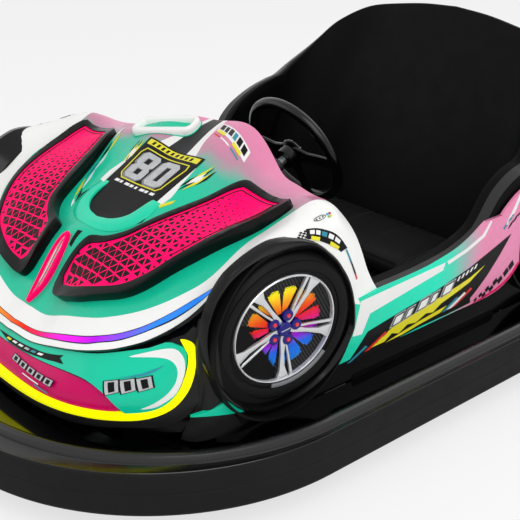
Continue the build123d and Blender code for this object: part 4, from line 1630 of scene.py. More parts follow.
def side_circle(centre: Sequence[float], radius: float, start: float, end: float,
                count: int = 24) -> np.ndarray:
    """An arc in side view (y, z); 0 degrees points to the nose and 90 upwards.

    Args:
        centre: The arc's middle.
        radius: Its radius.
        start: Turn of its first place, in degrees.
        end: Turn of its last place.
        count: Number of places.

    Returns:
        The places, one per row.
    """
    turn = np.radians(np.linspace(start, end, count))
    return np.column_stack([centre[0] - radius * np.cos(turn), centre[1] + radius * np.sin(turn)])


def arch_line(start: float, end: float, count: int = 24, grow: float = 0.0) -> np.ndarray:
    """The front arch's edge in side view (y, z), between two turns.

    Args:
        start: The first turn, in degrees.
        end: The last turn.
        count: Number of places.
        grow: How far outside the edge the line runs.

    Returns:
        The places, one per row.
    """
    table = np.array(ARCH_EDGE)
    turn = np.linspace(start, end, count)
    radius = np.interp(turn, table[:, 0], table[:, 1]) + grow
    return np.column_stack([ARCH_FRONT[0] - radius * np.cos(np.radians(turn)),
                            ARCH_FRONT[1] + radius * np.sin(np.radians(turn))])


@dataclass
class LowerBody:
    """Sills, foot patches and the pink rear body, cut from the body wall."""

    thick: float = 0.008
    foot: float = 0.196
    # side views (y, z) of the panels' upper edges and of the sill's foot
    sill_top: Corners = ((-.275, .404), (-.22, .404), (-.12, .405), (-.04, .408), (.002, .413), (.035, .418),
                         (.068, .425), (.100, .436), (.126, .448), (.145, .459), (.161, .467))
    rear_top: Corners = ((.161, .467), (.182, .466), (.206, .457), (.219, .466), (.235, .480), (.255, .494),
                         (.280, .508), (.315, .521), (.36, .535), (.41, .553), (.46, .578), (.52, .618),
                         (.58, .664), (.615, .692), (.65, .712))
    sill_foot: Corners = ((-.315, .247), (-.20, .248), (-.05, .246), (.10, .248), (.20, .248), (.250, .254),
                          (.281, .268), (.304, .289), (.322, .318))

    def build(self) -> None:
        """Makes both sides and the tail."""
        self.sill()
        self.rear()
        self.foot_patch()
        self.black_gap()

    def sill(self) -> None:
        """The sill from the front arch to the rear body."""
        arch = arch_line(176, 226, 16, 0.004)
        top = curve_through(self.sill_top, 5)
        foot = curve_through(self.sill_foot, 4)
        seam = side_circle(ARCH_REAR, REAR_EDGE - .001, -16, 26, 12)
        outline = np.vstack([arch, foot, seam[1:], top[::-1]])
        piece = panel("sill_panel_left", WALL, WALL.loop(outline), self.thick, step=0.016)
        fit_both(dress(piece, "sill_lit_paint"), "shell_teal", ["sill_left"], ["sill_right"])

    def rear(self) -> None:
        """The rear body: both flanks and the tail in one shell."""
        top = WALL.loop(curve_through(self.rear_top, 5))
        rise = np.array([(s, np.interp(s, (top[-1, 0], 1.0), (top[-1, 1], .716))) for s in
                         np.linspace(top[-1, 0], 1.0, 10)[1:]])
        arc = WALL.loop(side_circle(ARCH_REAR, REAR_EDGE - .001, 26, 252, 60))
        low = WALL.loop([(.575, self.foot)])
        outline = np.vstack([arc, low, [(1.0, self.foot)], rise[::-1], top[::-1]])
        half = panel("rear_half", WALL, outline, self.thick, step=0.018)
        piece = self.welded(one_piece("rear_body_shell", [half, other_side(half)]))
        fit(dress(piece, "rear_pink"), "shell_pink", ["rear_body"])

    def welded(self, piece: bpy.types.Object) -> bpy.types.Object:
        """Merges a shell's two halves at the middle of the tail.

        Args:
            piece: The shell, with a face of each half along the middle.

        Returns:
            The same object, as one closed form.
        """
        work = bmesh.new()
        work.from_mesh(piece.data)
        near = 1e-5
        inner = [f for f in work.faces if all(abs(v.co.x) < near for v in f.verts)]
        bmesh.ops.delete(work, geom=inner, context="FACES")
        bmesh.ops.remove_doubles(work, verts=work.verts, dist=2 * near)
        bmesh.ops.recalc_face_normals(work, faces=work.faces)
        work.to_mesh(piece.data)
        work.free()
        shade(piece.data, DEFAULT_CREASE)
        return piece

    def foot_patch(self) -> None:
        """The teal patch at the foot, ahead of the front wheel."""
        outline = np.array([(-.660, .249), (-.624, .261), (-.594, .278), (-.612, .301), (-.590, .272),
                            (-.572, .252), (-.554, .236), (-.585, .2405), (-.624, .2455)])
        piece = panel("foot_patch_left", WALL, outline, self.thick, 0.0025, 0.008)
        fit_both(dress(piece, "fascia_teal"), "shell_teal")

    def black_gap(self) -> None:
        """Black plinth between the body's foot and the deck."""
        stations = np.concatenate([np.linspace(-.60, .40, 50), np.linspace(.40, 1.0, 50)[1:]])
        section = ((.1675, .016), (.252, .022), (.254, .030), (.1675, .034))
        ends = [self.plinth_row(stations, z, inset) for z, inset in section]
        rows = [np.array(places) for places in zip(*ends)]
        twin = [row * (-1, 1, 1) for row in rows[:-1]][::-1]
        piece = lofted("body_plinth", [*rows, *twin], loop=True)
        fit(dress(piece, "gloss_black"), "trim_black")

    def plinth_row(self, stations: np.ndarray, z: float, inset: float) -> np.ndarray:
        """One line round the plinth, set in from the body's wall.

        Args:
            stations: Where its places lie along the wall.
            z: Its height.
            inset: How far inside the wall it runs.

        Returns:
            The places, one per row.
        """
        plan = np.column_stack([stations, np.full(len(stations), z)])
        line = WALL.at(plan) - WALL.normal(plan) * inset
        line[:, 2] = z
        return line


# ---- fascia -------------------------------------------------------------------------
# lines on the fascia from the middle to its left end, as its two plan numbers
LIGHT_LOW = ((0, .130), (.13, .126), (.25, .132), (.40, .150), (.534, .150), (.644, .150), (.724, .160),
             (.804, .182), (.876, .235), (.932, .32), (.968, .435), (.987, .549), (.996, .669), (.996, .761),
             (.984, .835), (.955, .880), (.930, .898))
LIGHT_HIGH = ((0, .440), (.163, .400), (.292, .368), (.428, .335), (.556, .302), (.66, .283), (.739, .284),
              (.800, .287), (.861, .312), (.907, .370), (.939, .462), (.956, .569), (.966, .667),
              (.966, .760), (.950, .830))
CHEEK_LINE = ((0, .860), (.11, .862), (.225, .860), (.341, .843), (.445, .805), (.535, .746), (.604, .68),
              (.667, .582), (.708, .479), (.745, .320))
# the black wedge's lower edge under the rainbow band, from the light's tip to the middle; the wedge is black
# ground in a real recess, partly a painted shade for the shadow under the band
WEDGE_LINE = ((.930, .898), (.900, .893), (.874, .910), (.811, .902), (.737, .921), (.604, .950),
              (.407, 1.017), (.300, 1.050), (0, 1.060))


@dataclass
class Fascia:
    """Nose below the rainbow band: magenta centre, teal cheeks, yellow light and dark trim."""

    facet: float = 0.05
    # a block's dark edge, pale body and dark middle, and how far each is drawn in
    block_coats: tuple[tuple[str, float], ...] = (
        ("black_print", -.0060), ("chrome_print", 0), ("black_print", .0130))

    def build(self) -> None:
        """Makes and dresses the nose's pieces."""
        cheek, low, high = (curve_through(line, 5) for line in (CHEEK_LINE, LIGHT_LOW, LIGHT_HIGH))
        # the black ground shows in the gaps and as the wedge under the band, where it is partly painted shade
        self.plate("fascia_ground", [(-1.0, -.06), (1.0, -.06), (1.0, 1.06), (-1.0, 1.06)], self.sunk,
                   "gloss_black", "trim_black", ["nose_fascia"])
        split = int(np.argmin(np.abs(high[:, 0] - CHEEK_LINE[-1][0])))
        centre = mirrored(np.vstack([cheek, high[:split][::-1]]))
        self.plate("fascia_centre", drawn_in(centre, .006), -0.001, "fascia_magenta", "shell_pink")
        teal = mirrored(np.vstack([cheek, high[split + 1:], np.array(WEDGE_LINE)[1:]]))
        self.plate("fascia_cheeks", drawn_in(teal, .004), self.bulge, "fascia_teal", "shell_teal")
        self.plate("chin_light_strip", between_lines(low, high), 0.005, "yellow_light", "yellow_light",
                   ["chin_light"], 0.010, 0.0015)
        self.graphics()
        outer = curve_through([(0, -.098), (.190, -.098), (.336, -.095), (.486, -.081), (.617, -.028),
                               (.748, .035), (.852, .052), (.932, .110), (.988, .221), (1.021, .369),
                               (1.037, .499), (1.036, .66), (1.028, .789), (1.004, .919), (.975, .960)], 5)
        self.plate("chin_trim", between_lines(low, outer), 0.004, "trim_grey", "trim_black", (), 0.010, 0.002)

    def sunk(self, plan: np.ndarray) -> np.ndarray:
        """How far the black ground lies inside the nose: deepest at its upper ends, where its black is partly
        painted shade under the band.
        """
        out = np.clip((np.abs(plan[:, 0]) - .66) / .20, 0, 1)
        return -.004 - .022 * out * np.clip((plan[:, 1] - .90) / .08, 0, 1)

    def bulge(self, plan: np.ndarray) -> np.ndarray:
        """How far the cheeks swell out of the nose.

        Args:
            plan: The nose's two plan numbers of each point.

        Returns:
            A height for each point.
        """
        u = np.abs(plan[:, 0])
        across = np.clip((u - .30) / .34, 0, 1) * np.clip((.99 - u) / .16, 0, 1)
        swell = np.exp(-((plan[:, 1] - .52) / .24) ** 2)
        return .001 + .008 * across * across * (3 - 2 * across) * swell

    def plate(self, name: str, outline: Line, lift: Lift, finish: str, slot: str, nodes: Sequence[str] = (),
              thick: float = 0.005, edge: float = 0.0) -> bpy.types.Object:
        """One plate on the fascia, finished and fitted.

        Args:
            name: The plate's name.
            outline: Its edge, in the fascia's two plan numbers.
            lift: Height of its face above the fascia.
            finish: The finish's name.
            slot: The record's finish that it takes.
            nodes: The parts it stands for.
            thick: Its thickness.
            edge: Width of the rounding of its edges.

        Returns:
            The plate.
        """
        piece = panel(name, FASCIA, outline, thick, lift, self.facet, edge=edge)
        return fit(dress(piece, finish), slot, nodes)

    def graphics(self) -> None:
        """White hook and blue flash on each cheek, plain blocks, and the black bar over the magenta."""
        both = Prints("cheek_marks", FASCIA, lambda p: self.bulge(p) + .0007, self.facet)
        both.add("white_print", curve_through(
            [(.739, .867), (.816, .868), (.876, .858), (.918, .832), (.947, .766), (.958, .692), (.957, .612),
             (.945, .520), (.926, .445), (.895, .392), (.862, .352), (.815, .345), (.852, .392), (.884, .440),
             (.908, .490), (.928, .560), (.934, .640), (.926, .705), (.903, .760), (.868, .797),
             (.820, .825)], 3, closed=True))
        both.add("blue_print", [(.726, .692), (.811, .702), (.884, .730), (.856, .701), (.817, .681)], 1)
        both.build(Sides.BOTH)
        one = Prints("nose_marks", FASCIA, lambda p: self.bulge(p) + .0008, self.facet)
        for k in range(3):
            u = .678 + .058 * k
            block = np.array([(u, .672 - .004 * k), (u + .050, .676 - .004 * k), (u + .062, .566 + .002 * k),
                              (u + .016, .540 + .006 * k)])
            one.nested(block, 1, *self.block_coats)
        one.add("black_print", [(-.076, .930), (.083, .937), (.222, .947), (.311, .945), (.431, .950),
                                (.420, .920), (.454, .860), (.397, .878), (.295, .884), (.179, .871),
                                (.044, .870)])
        for k, finish in enumerate(("yellow_print", "white_print", "white_print", "chrome_print",
                                    "blue_print", "white_print")):
            one.add(finish, slanted((.010 + .052 * k, .895 + .002 * k), (.034, 0), (.010, .024)), 1)
        for k in range(5):
            block = slanted((.120 + .068 * k, .700 - .032 * k), (.050, -.022), (.006, .090))
            one.nested(block, 0, *self.block_coats)
        one.add("white_print", slanted((.230, .560), (.130, -.055), (.004, .018)), 1)
        one.add("blue_print", slanted((.330, .470), (.100, -.045), (.004, .018)), 1)
        one.build()


# the fin's rows from the foot up: places across it, from the light's end to the arch
FIN_ROWS = (
    ((.412, -.652, .176), (.428, -.642, .178), (.442, -.620, .180), (.453, -.588, .184), (.462, -.548, .196)),
    ((.427, -.640, .230), (.441, -.636, .232), (.454, -.624, .236), (.462, -.603, .244), (.468, -.585, .255)),
    ((.436, -.634, .300), (.450, -.635, .302), (.461, -.630, .306), (.467, -.617, .312), (.472, -.606, .318)),
    ((.440, -.633, .370), (.453, -.637, .374), (.464, -.636, .378), (.470, -.627, .380), (.474, -.616, .382)),
    ((.442, -.629, .420), (.454, -.635, .430), (.466, -.635, .433), (.472, -.627, .430), (.475, -.618, .424)),
    ((.442, -.623, .446), (.453, -.629, .458), (.466, -.630, .461), (.473, -.624, .456), (.476, -.614, .448)),
)


@dataclass
class Fin:
    """Black fin between the nose and the front arch."""

    depth: float = 0.022

    def build(self) -> None:
        """Makes the fin on the left and its twin on the right."""
        table = np.array(FIN_ROWS)
        fine = np.stack([curve_through(table[:, k], 4) for k in range(table.shape[1])], 1)
        fine = np.stack([curve_through(row, 4) for row in fine])
        back = fine - np.array((.7, .25, 0)) * self.depth
        rows = [np.vstack([a, b[::-1]]) for a, b in zip(fine, back)]
        piece = rounded(lofted("arch_fin_left", rows, loop=True, crease=30), 0.0018, 2, 50)
        fit_both(dress(piece, "trim_grey"), "trim_black")


# ---- arches and dummy wheels --------------------------------------------------------
LIP_STEPS = 120


def arch_lip(name: str, centre: Sequence[float], turns: np.ndarray, profiles: Sequence[Line]) -> None:
    """The glossy black lip of an arch on the left, and its twin on the right.

    Args:
        name: The left lip's name.
        centre: The arch's middle in side view (y, z).
        turns: Turns of its sections in degrees; 0 towards the nose, 90 up.
        profiles: Each section, as corners of (radius, x).
    """
    y, z = centre
    rows = [np.array([(x, y - r * math.cos(turn), z + r * math.sin(turn)) for r, x in profile])
            for turn, profile in zip(np.radians(turns), profiles)]
    fit_both(dress(lofted(name, rows, loop=True, ring=True, crease=32), "gloss_black"), "trim_black")


@dataclass
class FrontArch:
    """Glossy black lip that follows the changing edge of the front arch."""

    inner: float = 0.1725
    inner_x: float = 0.425

    def build(self) -> None:
        """Makes the lip on the left and its twin on the right."""
        table = np.array(ARCH_EDGE)
        turns = np.linspace(-90, 270, LIP_STEPS + 1)[:-1]
        radius, across = (np.interp(turns, table[:, 0], table[:, k]) for k in (1, 2))
        profiles = [self.profile(r, x) for r, x in zip(radius, across)]
        arch_lip("front_arch_lip_left", ARCH_FRONT, turns, profiles)

    def profile(self, r: float, x: float) -> Line:
        """The lip's section where the arch's edge has a given radius.

        Args:
            r: The edge's radius.
            x: Where the edge lies across the car.

        Returns:
            The section's corners, as radius and x.
        """
        inner = min(self.inner, r - .008)
        broad = r - inner
        return ((r + .007, x - .016), (r + .006, x - .002), (r + .003, x + .0030), (r - .001, x + .0036),
                (r - .20 * broad, x + .0018), (inner + .25 * broad, x - .0060),
                (inner + .08 * broad, x - .0100), (inner, x - .0170), (inner - .001, self.inner_x),
                (inner + .008, self.inner_x))


@dataclass
class RearArch:
    """Glossy black lip round the rear arch."""

    def build(self) -> None:
        """Makes the lip on the left and its twin on the right."""
        turns = np.linspace(0, 360, LIP_STEPS + 1)[:-1]
        edge = WALL.at(WALL.loop(side_circle(ARCH_REAR, REAR_EDGE, 0, 360, LIP_STEPS + 1)[:-1]))
        arch_lip("rear_arch_lip_left", ARCH_REAR, turns, [self.profile(x) for x in edge[:, 0]])

    def profile(self, x: float) -> Line:
        """The lip's section where the body's wall lies at x, as radius and x."""
        return ((.199, x - .012), (.1985, x + .001), (.195, x + .0036), (.190, x + .0030), (.181, x - .006),
                (.1765, x - .018), (.175, .425), (.190, .425))


@dataclass
class DummyWheel:
    """Fixed wheel in an arch: tyre, thin rim, split spokes over a coloured mesh."""

    name: str
    centre: tuple[float, float, float]
    behind: tuple[float, float, float]
    above: tuple[float, float, float]
    rim: float = 0.1215
    # the tyre's section (radius, height above the wheel's face), and the turn of each pair of spokes
    tyre: Corners = (
        (.1235, -.030), (.1235, -.004), (.1250, -.001), (.1290, .0005), (.1300, -.001), (.1340, -.0015),
        (.1350, .0010), (.1460, .0040), (.1540, .0030), (.1545, .0016), (.1560, .0016), (.1565, .0022),
        (.1635, -.0030), (.1690, -.0100), (.1715, -.0190), (.1715, -.0290))
    spokes: tuple[float, ...] = (53.5, 125.5, 197.5, 269.5, 341.5)

    def build(self) -> None:
        """Makes the wheel on the left and its twin on the right."""
        self.face = Flat(self.centre, self.behind, self.above)
        self.normal = np.cross(self.face.ahead, self.face.above)
        parts = (
            (self.tyre_ring(), "tyre_rubber"),
            (self.rim_ring(), "rim_silver"),
            (self.ground(), "trim_black"),
            (self.spoke_set(), "rim_silver"),
            (self.wedges(), "rim_silver"),
            (self.mesh(), "rim_silver"),
            (self.lobes(), "hub_grey"),
            (self.nuts(), "hub_grey"),
            (self.cap(), "hub_grey"),
            (self.bead(), "tyre_rubber"),
        )
        for piece, slot in parts:
            fit_both(piece, slot)

    def polar(self, radius: float, turn: float) -> tuple[float, float]:
        """A plan place from its distance and its turn in degrees (0 towards the tail, 90 up)."""
        return radius * math.cos(math.radians(turn)), radius * math.sin(math.radians(turn))

    def lathe(self, what: str, profile: Line, count: int = 96) -> bpy.types.Object:
        """A ring or dome turned about the wheel's middle."""
        return turned(f"{self.name}_{what}_left", profile, self.centre, self.normal, count, 30)

    def tyre_ring(self) -> bpy.types.Object:
        """The tyre, with a bead groove and a fine line in its wall."""
        return dress(self.lathe("tyre", self.tyre, 128), "tyre_rubber")

    def rim_ring(self) -> bpy.types.Object:
        """The thin bright ring at the rim's edge.

        Returns:
            The ring.
        """
        profile = ((-.0035, -.016), (-.0032, -.0015), (-.002, .0008), (0, .0012), (.0016, -.0006),
                   (.002, -.016))
        return dress(self.lathe("rim", [(self.rim + out, high) for out, high in profile]), "rim_silver")

    def ground(self) -> bpy.types.Object:
        """The dished black ground behind the spokes.

        Returns:
            The ground.
        """
        end = self.rim - .002
        profile = ((0, -.0140), (.030, -.0140), (.080, -.0115), (end, -.0080), (end, -.026), (0, -.026))
        return dress(self.lathe("ground", profile), "carbon_ground")

    def plates(self, what: str, outlines: Sequence[Line], lift: Lift, thick: float, edge: float,
               finish: str) -> bpy.types.Object:
        """Several flat plates on the wheel's face, as one piece.

        Args:
            what: What they are, for the piece's name.
            outlines: The edge of each plate, in the face's plan.
            lift: Height of their faces.
            thick: Their thickness.
            edge: Width of the rounding of their edges.
            finish: The finish's name.

        Returns:
            The piece.
        """
        made = [panel(f"{self.name}_{what}_{k}", self.face, outline, thick, lift, 0.012, edge=edge)
                for k, outline in enumerate(outlines)]
        return dress(one_piece(f"{self.name}_{what}_left", made), finish)

    def spoke_set(self) -> bpy.types.Object:
        """Five pairs of blades: a wide one and a thin one that share a root.

        Returns:
            The blades as one piece.
        """
        end = self.rim - .002
        wide = ((.006, 150), (.026, 13), (.060, 3.6), (.090, 4.0), (end, 8.2), (end, -6.0), (.100, -3.4),
                (.060, -4.2), (.026, -15), (.006, -150))
        thin = ((.022, 17), (.060, 15.0), (end, 14.0), (end, 10.6), (.060, 10.4), (.026, 5))
        outlines = [[self.polar(r, turn + t) for r, t in blade]
                    for turn in self.spokes for blade in (wide, thin)]
        return self.plates("spokes", outlines, self.crown, 0.006, 0.0013, "rim_silver")

    def crown(self, plan: np.ndarray) -> np.ndarray:
        """Height of the spokes' faces: they rise towards the rim."""
        return -.0055 + .0045 * np.clip(np.linalg.norm(plan, axis=1) / self.rim, 0, 1)

    def sectors(self) -> list[list[tuple[float, float]]]:
        """The coloured openings between the blades: a slim one and two broad ones for each pair.

        Returns:
            The corners of each opening.
        """
        openings = (((.030, 3), (.092, 10.8), (.093, 3.4), (.030, -3)),
                    ((.034, -14), (.092, -7.5), (.0965, -16), (.093, -27), (.034, -29)),
                    ((.034, -31), (.093, -34.5), (.0965, -46), (.092, -56), (.034, -44)))
        return [[self.polar(r, turn + t) for r, t in corners] for turn in self.spokes for corners in openings]

    def colours(self) -> str:
        """The finish that runs from yellow to blue down the wheel's face.

        Returns:
            The finish's name.
        """
        finish = f"{self.name}_colours"
        if finish not in FINISHES:
            way = (0, .12, -1.0)
            start = way[1] * self.centre[1] + way[2] * self.centre[2]
            stops = ((-.085, "FFF01E"), (-.058, "F7A51C"), (-.034, "F05A14"), (-.017, "E8201E"),
                     (.003, "E61478"), (.018, "E014BE"), (.032, "A01EE0"), (.052, "1E6EE6"), (.085, "1482DC"))
            FINISHES[finish] = FadeFinish(finish, "FF9A14", 0.34, level=0.2, mottle=0.08, glow=0.10, way=way,
                                          cloud=160.0,
                                          stops=tuple((round(at + start, 4), code) for at, code in stops))
        return finish

    def wedges(self) -> bpy.types.Object:
        """Plain coloured plates under the scales, with crisp edges."""
        return self.plates("wedges", self.sectors(), -.0112, .002, 0, self.colours())

    def mesh(self) -> bpy.types.Object:
        """Small six-sided scales in staggered rows that fill the openings.

        Returns:
            The scales as one piece.
        """
        pitch = 0.0034
        rows = []
        for outline in self.sectors():
            loop = np.array(outline)
            low, high = loop.min(0), loop.max(0)
            for j, v in enumerate(np.arange(low[1], high[1], pitch * .80)):
                us = np.arange(low[0] + (pitch / 2 if j % 2 else 0), high[0], pitch)
                row = np.column_stack([us, np.full(len(us), v)])
                rows.append(row[inside(row, drawn_in(loop, pitch * .62))])
        plan = np.vstack(rows)
        places = self.face.lifted(plan, -.0112)
        facing = np.tile(self.normal + np.array((0, 0, -.28)), (len(plan), 1))
        scale = Stud(6, pitch * .56, pitch * .34, .0012)
        return scale.on(f"{self.name}_mesh_left", places, facing, self.colours())

    def lobes(self) -> bpy.types.Object:
        """The navy pods between the blades' roots."""
        outlines = [disc(place, .0125, 20) for place in self.pod_places()]
        return self.plates("lobes", outlines, -.0030, 0.009, 0.002, "hub_navy")

    def pod_places(self) -> list[tuple[float, float]]:
        """The middles of the pods, in the face's plan."""
        return [self.polar(.0300, turn - 50) for turn in self.spokes]

    def nuts(self) -> bpy.types.Object:
        """The red nuts on the pods.

        Returns:
            The nuts as one piece.
        """
        places = self.face.lifted(self.pod_places(), -.0031)
        facing = np.tile(self.normal, (len(places), 1))
        return Stud(6, .0052, .0040, .0030).on(f"{self.name}_nuts_left", places, facing, "nut_red")

    def cap(self) -> bpy.types.Object:
        """The navy cap with a pale bar across it.

        Returns:
            Both as one piece.
        """
        dome = self.lathe("cap_dome", ((0, .0022), (.009, .0018), (.0142, .0006), (.0162, -.0016),
                                       (.0165, -.010), (0, -.010)), 32)
        corners = [(-.0105, -.0024), (.0105, .0012), (.0105, .0032), (-.0105, -.0004)]
        bar = panel(f"{self.name}_bar", self.face, corners, .0012, .0028, .003)
        return one_piece(f"{self.name}_cap_left", [dress(dome, "hub_navy"), dress(bar, "chrome_print")])

    def bead(self) -> bpy.types.Object:
        """A grey guard round the low front of the rim.

        Returns:
            The guard.
        """
        turns = np.linspace(258, 322, 28)
        outline = [self.polar(self.rim + .0035, t) for t in turns]
        outline += [self.polar(self.rim + .0125, t) for t in turns[::-1]]
        piece = panel(f"{self.name}_bead_left", self.face, outline, .005, .0035, .01, edge=.0012)
        return dress(piece, "grey_print")


@dataclass
class DummyWheels:
    """The four dummy wheels."""

    def build(self) -> None:
        """Makes the front and the rear pair."""
        front = DummyWheel("front_wheel", (.4775, -.4452, .385), (.1314, .9913, 0), (.0833, -.0110, .9965))
        rear = DummyWheel("rear_wheel", (.4800, ARCH_REAR[0], .385), (-.075, .9972, 0), (0, 0, 1))
        front.build()
        rear.build()
        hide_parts("flank_tyres")
        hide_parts("flank_rims")


# ---- seat tub -----------------------------------------------------------------------
# side view of the rim's inner edge (y, z), then its turn round the rear corner (degrees, z)
RIM_SIDE = ((-.215, .396), (-.12, .396), (-.04, .398), (.03, .403), (.075, .409), (.100, .415), (.134, .425),
            (.164, .438), (.184, .456), (.205, .483), (.226, .508), (.246, .525), (.276, .543), (.304, .554),
            (.345, .567))
RIM_FAR = ((-.215, .396), (-.12, .396), (-.04, .398), (.03, .405), (.075, .415), (.110, .432), (.140, .462),
           (.160, .492), (.180, .520), (.210, .546), (.258, .571), (.300, .586), (.345, .597))
RIM_CORNER = ((6, .604), (15, .628), (30, .674), (45, .734), (55, .762), (65, .783), (75, .797), (90, .808))


TUB_FOOT = .134


class TubWall(RoundedWall):
    """The tub's outer wall, which leans back and turns ever wider corners towards its top."""

    straight = 0.20
    half = 0.450
    rise = .698

    def sizes(self, z: np.ndarray) -> Sequence[np.ndarray]:
        """Half width, place of the back and corner radius at each height."""
        share = (z - TUB_FOOT) / self.rise
        return np.full(np.shape(z), self.half), .376 + .252 * share, .110 + .120 * share

    def station(self, angle: float, z: float) -> float:
        """The station at a turn round the rear corner, in degrees."""
        _, _, corner, run, length = (float(v) for v in self.measures(np.array(z)))
        return self.straight + (1 - self.straight) * (run + corner * math.radians(angle)) / length


@dataclass
class SeatTub:
    """High-backed tub of the two riders: one moulding with a rolled rim, and a paler band on the rim's slope
    that is a painted highlight.
    """

    wall: float = 0.020
    top: float = .831
    # the rim's section from its inner edge outwards: how far out of the outer wall, and below the rim
    lip: Corners = ((-.0200, .004), (-.0185, .001), (-.0160, 0), (-.008, .0008), (.002, .005), (.030, .014),
                    (.0365, .018), (.0378, .022), (.0372, .050), (.0340, .050), (.0335, .026), (.026, .021),
                    (.001, .014))

    def build(self) -> None:
        """Makes the tub and its rim."""
        skin = TubWall()
        left, right = self.rim(skin, RIM_SIDE), self.rim(skin, RIM_FAR)
        # the second piece is the paler band, a painted highlight laid on the rim's slope
        for name, section, finish, nodes in (("seat_tub_moulding", self.section, "tub_black", ["seat_tub"]),
                                             ("seat_tub_rim_highlight", self.band, "rim_highlight_grey", [])):
            rows = [section(skin, s, z) for s, z in left]
            rows += [section(skin, s, z) * (-1, 1, 1) for s, z in right[-2::-1]]
            fit(dress(lofted(name, rows, loop=True, crease=32), finish), "tub_black", nodes)

    def rim(self, skin: TubWall, side: Line) -> np.ndarray:
        """Stations and heights of the rim, from its front end to the middle of the back.

        Args:
            skin: The tub's wall.
            side: The rim's side view.

        Returns:
            Rows of station and height.
        """
        marks = []
        for y, z in side:
            past = (y - skin.straight) / float(skin.measures(np.array(z))[-1]) * (1 - skin.straight)
            marks.append((y if y < skin.straight else skin.straight + past, z))
        marks += [(skin.station(angle, z), z) for angle, z in RIM_CORNER]
        last = marks[-1][0]
        marks += [(last + (1 - last) * .5, .824), (1.0, self.top)]
        line = curve_through(marks, 6)
        line[:, 1] = np.minimum(line[:, 1], self.top)
        line[-1] = (1.0, self.top)
        return line

    def section(self, skin: TubWall, s: float, z: float) -> np.ndarray:
        """The moulding's section at one station, from the rim down both faces.

        Args:
            skin: The tub's wall.
            s: The station.
            z: The rim's height there.

        Returns:
            The section's places, one per row.
        """
        out, drop = np.array(self.lip).T
        outer = skin.lifted(np.column_stack([np.full(len(out), s), z - drop]), out)
        outer[:, 2] = z - drop
        levels = np.linspace(z - .030, TUB_FOOT, 9)
        back = skin.lifted([(s, h) for h in levels], 0.0)
        face = skin.lifted([(s, h) for h in levels[::-1]], -self.wall)
        face[:, 2] = levels[::-1]
        return np.vstack([outer, back, face])

    def band(self, skin: TubWall, s: float, z: float) -> np.ndarray:
        """The section of the smoother, paler band on the rim's slope: a painted highlight of the rolled rim.

        Args:
            skin: The tub's wall.
            s: The station.
            z: The rim's height there.

        Returns:
            The section's places, one per row.
        """
        out, drop = np.array(((.0035, .0052), (.0290, .0134), (.0292, .0150), (.0036, .0068))).T
        places = skin.lifted(np.column_stack([np.full(4, s), z - drop]), out)
        places[:, 2] = z - drop + .0006
        return places


